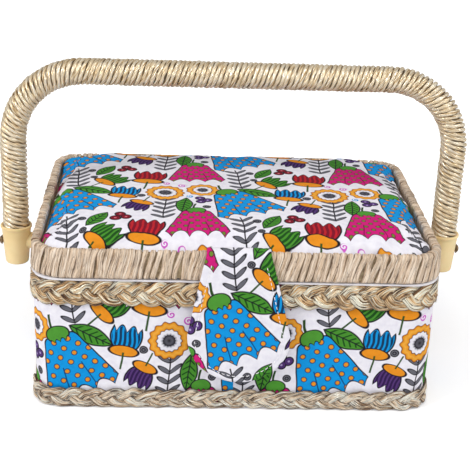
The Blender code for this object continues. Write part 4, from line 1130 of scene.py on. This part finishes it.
# ---- closing tab ----
tab = {
    "thick": 0.0020,
    "edge": 0.0018,
    "lean": 0.034,  # how far it hangs aside over its length
    "longer": 0.0015,
    "bend": 0.0022,  # radius of the fold over the hoop's edge
    "sewnIn": 0.0052,  # how far behind the lid's front it goes down into the crease
    "belly": 0.0006,
    "curl": 0.0004,
    "dip": 0.22,
    "stitchIn": 0.0042,
    "stitchGap": 0.0031,
    "stitchLong": 0.0021,
    "stitchWide": 0.00024,
    "stitchArch": 0.0007,
    "stitchSunk": 0.0003,
    "columns": 41,
    "lengths": 90,
    "topWide": 0.0185,
    "wide": 0.0303,
    "arch": 0.031,
    "shift": (0.019, 0.0765),
}


def tabHalf(hang, look, drop):
    # Half the tab's width, a distance down from its fold: straight and widening, then an ellipse to the tip.
    shoulder = drop - look["arch"]
    straight = look["topWide"] + (look["wide"] - look["topWide"]) * np.clip(hang / shoulder, 0, 1) ** 0.92
    low = np.clip((hang - shoulder) / look["arch"], 0, 1)
    return np.where(hang > shoulder, look["wide"] * np.maximum(1 - low**2.3, 0) ** 0.56, straight)


def tabLine(length, foldY, topZ, bend, back):
    # Centre line seen from the side: up out of the crease, over the hoop, round the fold and straight down.
    line = np.array([(back, topZ - 0.0030), (back - 0.0004, topZ - 0.0010), (back - 0.0014, topZ + 0.0002)])
    line = np.concatenate([line, [(foldY + 0.0036, topZ + 0.0003)]])
    turns = np.linspace(0, math.pi / 2, 7)
    fold = np.stack([foldY + bend - bend * np.sin(turns), topZ - bend + bend * np.cos(turns)], 1)
    line = np.concatenate([line, fold, [(foldY, topZ - 0.2)]])
    run = runAlong(line)
    return np.interp(length, run, line[:, 0]), np.interp(length, run, line[:, 1]), run[9]


def tabSway(hang, x, look):
    # how far the hanging cloth stands out: half a sine down it, and its sides more towards the tip
    return -look["belly"] * np.sin(math.pi * hang) - look["curl"] * hang * (x / look["wide"]) ** 2


def tabMesh(look):
    # Width across and length down, front and back sheets apart by a thickness that rounds off to nothing at
    # the edge, with a dip along the stitch line a set way in.
    low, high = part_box("closure_tab")
    foldY = (low.y + high.y) / 2
    topZ = hoopHigh + look["thick"] / 2 + 0.0003
    tipZ = low.z - look["longer"]
    bend = look["bend"]
    back = -lidPlan[1] + look["sewnIn"]
    _, _, foldAt = tabLine(0.0, foldY, topZ, bend, back)
    drop = topZ - bend - tipZ
    total = foldAt + drop
    spread = 1 - (1 - np.linspace(0, 1, look["lengths"])) ** 1.35
    length = total * (0.25 * np.linspace(0, 1, look["lengths"]) + 0.75 * spread)
    side = np.sin(np.linspace(-1, 1, look["columns"]) * math.pi / 2)
    half = tabHalf(np.maximum(length - foldAt, 0), look, drop)
    half[-1] = 0.0002
    x = half[:, None] * side
    s = length[:, None] + 0 * side
    outline = np.stack([half, length], 1)
    outline = np.concatenate([outline * (-1, 1), outline[::-1]])
    finer = []
    for near, far in zip(outline[:-1], outline[1:]):
        finer.append(near + (far - near) * np.linspace(0, 1, 6, endpoint=False)[:, None])
    finer = np.concatenate(finer)
    spots = np.stack([x, s], -1).reshape(-1, 1, 2)
    edge = np.min(np.linalg.norm(spots - finer[None], axis=2), axis=1).reshape(x.shape)
    edge[np.abs(np.broadcast_to(side, x.shape)) > 0.9999] = 0
    edge[-1] = 0
    swell = np.sqrt(1 - (1 - np.clip(edge / look["edge"], 0, 1)) ** 2)
    dip = look["dip"] * np.exp(-(((edge - look["stitchIn"]) / 0.0009) ** 2))
    puff = look["thick"] / 2 * (swell * (0.92 - dip) + 0.08 * np.clip(edge / 0.012, 0, 1))
    puff = puff * (1 + 0.06 * np.sin(s * 260 + x * 90))
    y, z, _ = tabLine(s, foldY, topZ, bend, back)
    dy = np.gradient(y, axis=0)
    dz = np.gradient(z, axis=0)
    norm = np.hypot(dy, dz)
    outY, outZ = dz / norm, -dy / norm
    hang = np.clip((s - foldAt) / drop, 0, 1)
    sway = tabSway(hang, x, look)
    aside = x + look["lean"] * drop * hang
    front = np.stack([aside, y + outY * puff + sway, z + outZ * puff], -1)
    rear = np.stack([aside, y - outY * puff + sway, z - outZ * puff], -1)
    ring = np.concatenate([front, rear[:, -2:0:-1]], 1)
    flat = np.stack([x, -s], -1) + look["shift"]
    uv = np.concatenate([flat, flat[:, -2:0:-1], flat[:, :1]], 1)
    piece = makeMesh("closingTab", [grid(ring, uv, capped=True)], 180)
    area = 2 * np.trapz(half, length)
    return piece, (foldAt, drop, foldY, topZ, bend, back, total, area, outline)


closingTab, tabFacts = tabMesh(tab)
foldAt, drop, foldY, topZ, bend, back, tabLong, tabArea, outline = tabFacts
dress(closingTab, printed, None, "printed_cotton", "closure_tab", "tab_anchor")
foldStart, foldEnd = (0, foldY + 0.0027, topZ + 0.0013), (0, foldY - 0.0007, topZ - 0.0029)
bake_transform(closingTab)


def stitchLine(look, outline):
    # the tab's edge moved in by a set distance, as points a stitch apart, each with its direction
    keep = outline[outline[:, 1] > foldAt + 0.004]
    ahead = unit(np.gradient(keep, axis=0))
    inward = np.stack([-ahead[:, 1], ahead[:, 0]], 1)
    middle = np.array([0, foldAt + drop * 0.55])
    sign = np.sign(((middle - keep) * inward).sum(1))
    line = keep + inward * sign[:, None] * look["stitchIn"]
    step = np.linalg.norm(np.diff(line, axis=0), axis=1)
    good = np.concatenate([[True], step > 1e-6])
    line = line[good]
    run = runAlong(line)
    stops = np.arange(look["stitchGap"] / 2, run[-1], look["stitchGap"])
    x, s = np.interp(stops, run, line[:, 0]), np.interp(stops, run, line[:, 1])
    later = stops + 1e-4
    nextX, nextS = np.interp(later, run, line[:, 0]), np.interp(later, run, line[:, 1])
    return x, s, unit(np.stack([nextX - x, nextS - s], 1))


def stitchMesh(look):
    # Each stitch is a low arch of thread that comes out of the cloth and goes back in: a tube along half a
    # cosine wave.
    x, s, way = stitchLine(look, outline)
    reach = np.linspace(-0.5, 0.5, 9) * look["stitchLong"]
    rise = np.cos(np.linspace(-1, 1, 9) * math.pi / 2) * look["stitchArch"] - look["stitchSunk"]
    turn = np.linspace(0, tau, 8, endpoint=False)
    across = np.stack([-way[:, 1], way[:, 0]], 1)
    base = look["thick"] / 2 * (0.92 - 0.16)
    lines = []
    for thread in range(8):
        wide = look["stitchWide"] * math.cos(turn[thread])
        tall = look["stitchWide"] * math.sin(turn[thread])
        px = x[:, None] + way[:, :1] * reach + across[:, :1] * wide
        ps = s[:, None] + way[:, 1:] * reach + across[:, 1:] * wide
        y, z, _ = tabLine(ps, foldY, topZ, bend, back)
        hang = np.clip((ps - foldAt) / drop, 0, 1)
        out = y - base + tabSway(hang, px, look) - rise - tall
        lines.append(np.stack([px + look["lean"] * drop * hang, out, z], -1))
    points = np.stack(lines, 2)
    return makeMesh("tabStitches", [grid(points, capped=True)], 180)


threadLook = Recipe("white thread", Roughness=0.6)
fluff = threadLook.noise(threadLook.here(), 2000.0)
threadShade = threadLook.ramp(fluff, (0.3, tint(226, 224, 228)), (0.7, tint(250, 249, 250)))
whiteThread = threadLook.finish(Base_Color=threadShade)
tabStitches = stitchMesh(tab)
dress(tabStitches, whiteThread, "tab", "printed_cotton")

# ---- handle ----
handle = {
    "strands": 5,
    "lead": 0.01435,
    "steps": 44,
    "around": 12,
    "radius": 0.00698,
    "halfWide": 0.00136,
    "halfThick": 0.00130,
    "ply": 0.011,
    "plyDepth": 0.06,
    "lump": 0.15,
    "loose": 0.00014,
    "late": 0.10,
    "inSocket": 0.0041,
    "coreRadius": 0.0062,
    "bend": 0.044,
}


def handleLine(look, along):
    # Centre line of the handle from its left end: post, quarter circle, bar, quarter circle, post.
    postX = coreHigh.x - look["coreRadius"]
    barZ, foot, bendR = coreHigh.z - look["coreRadius"], coreLow.z, look["bend"]
    post, arc, bar = barZ - bendR - foot, bendR * math.pi / 2, 2 * (postX - bendR)
    total = 2 * (post + arc) + bar
    mirrored = along > total / 2
    half = np.where(mirrored, total - along, along)
    angle = np.clip((half - post) / bendR, 0, math.pi / 2)
    straight = np.clip(half - post - arc, 0, None)
    side = np.where(mirrored, -1.0, 1.0)
    x = -postX + bendR - bendR * np.cos(angle) + straight
    z = foot + np.minimum(half, post) + bendR * np.sin(angle)
    centre = np.stack([side * x, 0 * x, z], -1)
    outward = np.stack([-side * np.cos(angle), 0 * x, np.sin(angle)], -1)
    return centre, outward, total


def handleCordMesh(look):
    # Each strand is a helix on the handle's line: its spoke turns once in a lead, left-handed. Its section is
    # an oval in the spoke and across the strand, with the two plies of the cord turning along it.
    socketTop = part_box("handle_socket_left")[1].z
    start = socketTop - look["inSocket"] - coreLow.z
    _, _, total = handleLine(look, np.zeros(1))
    length = total - 2 * start
    turns = round(length / look["lead"])
    count = turns * look["steps"]
    share = np.linspace(0, 1, count + 1)
    along = start + share * length
    centre, outward, _ = handleLine(look, along)
    turn = np.linspace(0, tau, look["around"], endpoint=False)
    strands, total = [], 0
    for strand in range(look["strands"]):
        wobble = look["late"] * wave(share, 50 + strand, (9, 23, 41))
        angle = tau * (turns * share + strand / look["strands"]) + wobble
        spoke = np.cos(angle)[:, None] * outward + np.sin(angle)[:, None] * np.array([0, 1.0, 0])
        loose = look["radius"] + look["loose"] * wave(share, 70 + strand, (31, 57, 83))
        path = centre + spoke * loose[:, None]
        across = unit(np.cross(unit(np.gradient(path, axis=0)), spoke))
        run = runAlong(path)
        lumps = 1 + look["lump"] * wave(share, 30 + strand, (101, 137, 173, 211))[:, None]
        plies = 1 + look["plyDepth"] * np.cos(2 * (turn[None] + tau * run[:, None] / look["ply"] + strand))
        wide = look["halfWide"] * np.cos(turn)[None] * plies * lumps
        thick = look["halfThick"] * np.sin(turn)[None] * plies * (0.5 + 0.5 * lumps)
        strands.append(path[:, None] + across[:, None] * wide[..., None] + spoke[:, None] * thick[..., None])
        total = run[-1]
    lengths, rounds = np.linspace(0, total, count + 1), np.linspace(0, 0.999, len(turn) + 1)
    uv = np.stack([cordUv(lengths, rounds, strand) for strand in range(look["strands"])])
    print(f"handleCord: {look['strands']} cords of {total:.3f} m, {turns} turns each")
    return makeMesh("handleCord", [grid(np.stack(strands), uv, capped=True)], 180)


dress(handleCordMesh(handle), gloss, "handle", "gloss_cord", "handle_winding")

# ---- sockets and pivot bolts ----
socket = {
    "short": 0.0010,
    "mouth": 0.0085,
    "wall": 0.0011,
    "lip": 0.00035,
    "bore": 0.0065,
    "foot": 0.0075,
    "boss": 0.0052,
}


def onPivot(profile, count, side, start=0.0):
    # a lathed shape laid along the pivot's line, out to one side
    turned = lathe(profile, count)
    return np.stack([side * (start + turned[..., 2]), turned[..., 0], turned[..., 1] + pivotZ], -1)


def socketMesh(side, word, look):
    # A tapered cup turned round the post, and a boss turned round the pivot, which runs in from its side.
    low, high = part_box(f"handle_socket_{word}")
    postX = coreHigh.x - handle["coreRadius"]
    top, foot = high.z, low.z + look["short"]
    wide, mouth, bore, boss = look["foot"], look["mouth"], look["bore"], look["boss"]
    outer = mouth + look["wall"]
    lip = outer + look["lip"]
    profile = [
        (0.0001, foot), (wide - 0.0022, foot), (wide - 0.0004, foot + 0.0005), (wide, foot + 0.0022),
        (outer - 0.0004, top - 0.0022), (outer - 0.0001, top - 0.0019), (lip, top - 0.0017),
        (lip, top - 0.0002), (outer - 0.0003, top), (mouth, top - 0.0001), (mouth, top - 0.0006),
        (mouth - 0.0001, top - 0.0045), (mouth - 0.0002, top - 0.0048), (bore, top - 0.0048),
        (bore - 0.0001, foot + 0.0032), (0.0001, foot + 0.003),
    ]
    cupPoints = lathe(smoothed(profile), 64) + np.array([side * postX, 0, 0])
    profile = [(0.0024, 0), (boss - 0.0006, 0), (boss, 0.0006), (boss, 0.010), (boss + 0.0012, 0.0135)]
    bossPoints = onPivot(smoothed(profile, 1), 40, side, min(abs(low.x), abs(high.x)))
    return makeMesh(f"socket{word.capitalize()}", [grid(cupPoints), grid(bossPoints)], 40)


bolt = {"dome": 0.0016, "radius": 0.0026, "collar": 0.0005, "shank": 0.002, "drawnIn": 0.0011}


def boltMesh(side, word, look):
    # A domed head on a collar, and the shank that runs in through the box, turned round the pivot.
    low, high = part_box(f"handle_bolt_{word}")
    innerX, outerX = sorted((abs(low.x), abs(high.x)))
    radius, dome, shank = look["radius"], look["dome"], look["shank"]
    seat, collar = outerX - look["drawnIn"] - dome, radius + look["collar"]
    turns = np.linspace(0, math.pi / 2, 9)
    profile = [(radius * math.sin(turn) + 1e-5, seat + dome * math.cos(turn)) for turn in turns]
    profile += [(collar, seat), (collar, seat - 0.0003), (shank, seat - 0.0003), (shank, innerX)]
    return makeMesh(f"bolt{word.capitalize()}", [grid(onPivot([*profile, (1e-5, innerX)], 32, side))], 35)


pivotZ = next(joint["pos_m"][2] for joint in frame["joints"] if joint["name"] == "bolt_turn")
sides = ((-1, "left"), (1, "right"))
for side, word in sides:
    dress(socketMesh(side, word, socket), cream, "handle", "socket_plastic", f"handle_socket_{word}")
for side, word in sides:
    dress(boltMesh(side, word, bolt), agedBrass, "pivot_bolts", "steel", f"handle_bolt_{word}")

# ---- under the lid ----
lidInside = {"thick": 0.0007, "pucker": 0.0004, "steps": 240}


def lidLiningMesh(look):
    # A shallow cloth tray: down the hoop's inner side and across the board, rings of the lid's inner outline.
    low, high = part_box("lid_lining")
    plan = planOf("lid_lining", 0.0147)
    section = [(0.0, high.z), (0.0, low.z), (look["thick"], low.z + 0.0001)]
    section += [(look["thick"], z) for z in np.linspace(low.z + 0.001, high.z - 0.002, 5)]
    section += [(0.0014, high.z - 0.0011), (0.0032, high.z - look["thick"]), (0.012, high.z - look["thick"])]
    ripple = -np.abs(look["pucker"] * wave(np.arange(look["steps"]) / look["steps"], 61, (29, 47, 83)))
    return ringMesh("lidLining", plan, section, (4, 5, 6), ripple), plan


lidLining, lidPlanInside = lidLiningMesh(lidInside)
dress(lidLining, lining, "lid", "lining", "lid_lining")
2 * lidPlanInside[0] + 0.016
2 * lidPlanInside[1] + 0.016

cushion = {"columns": 40, "rows": 28, "corner": 0.008, "buttons": ((-0.014, 0.0), (0.014, 0.0))}


def pinCushionMesh(look):
    # A stuffed rectangle that hangs under the lid: the depth from the edge gives the swell, and two tufts
    # pull it in.
    low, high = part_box("pin_cushion")
    centre = (low + high) / 2
    plan = ((high.x - low.x) / 2, (high.y - low.y) / 2, look["corner"])
    x, y = padGrid(look, plan)
    depth = np.clip(insideDepth(x, y, plan), 0, None)
    swell = np.sqrt(1 - (1 - np.clip(depth / 0.011, 0, 1)) ** 2)
    tuft = sum(np.exp(-((x - bx) ** 2 + (y - by) ** 2) / 0.0035**2) for bx, by in look["buttons"])
    drop = (high.z - low.z) * (0.35 + 0.65 * swell) * (1 - 0.45 * tuft)
    lower = np.stack([x + centre.x, y + centre.y, high.z - drop], -1)
    upper = np.stack([x * 0.97 + centre.x, y * 0.97 + centre.y, 0 * x + high.z], -1)
    return cushionMesh("pinCushion", lower, upper, np.stack([x, y], -1))


pinCushion = pinCushionMesh(cushion)
dress(pinCushion, felt, "lid", "pin_felt", "pin_cushion")

# ---- CAD nodes that stay, in their own finishes ----
finishes = {
    **dict.fromkeys(("hinge_", "body_snap", "tab_snap"), brassed),
    **dict.fromkeys(("hinge_pin", "body_screw", "lid_screw", "bolt_"), darkSteel),
    **dict.fromkeys(("box_wall", "base_board", "lid_board", "lid_hoop", "handle_core"), board),
    "sewing_tray": milky,
    "tray_ledge": lining,
}
for name, node in nodes.items():
    matching = [start for start in finishes if name.startswith(start)]
    if matching and not node.hide_render:
        node.data.materials.clear()
        node.data.materials.append(finishes[max(matching, key=len)])

low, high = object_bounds()
for word, box in (("cad", (*cadLow, *cadHigh)), ("visual", (*low, *high))):
    print(word, [round(1000 * value, 1) for value in box])
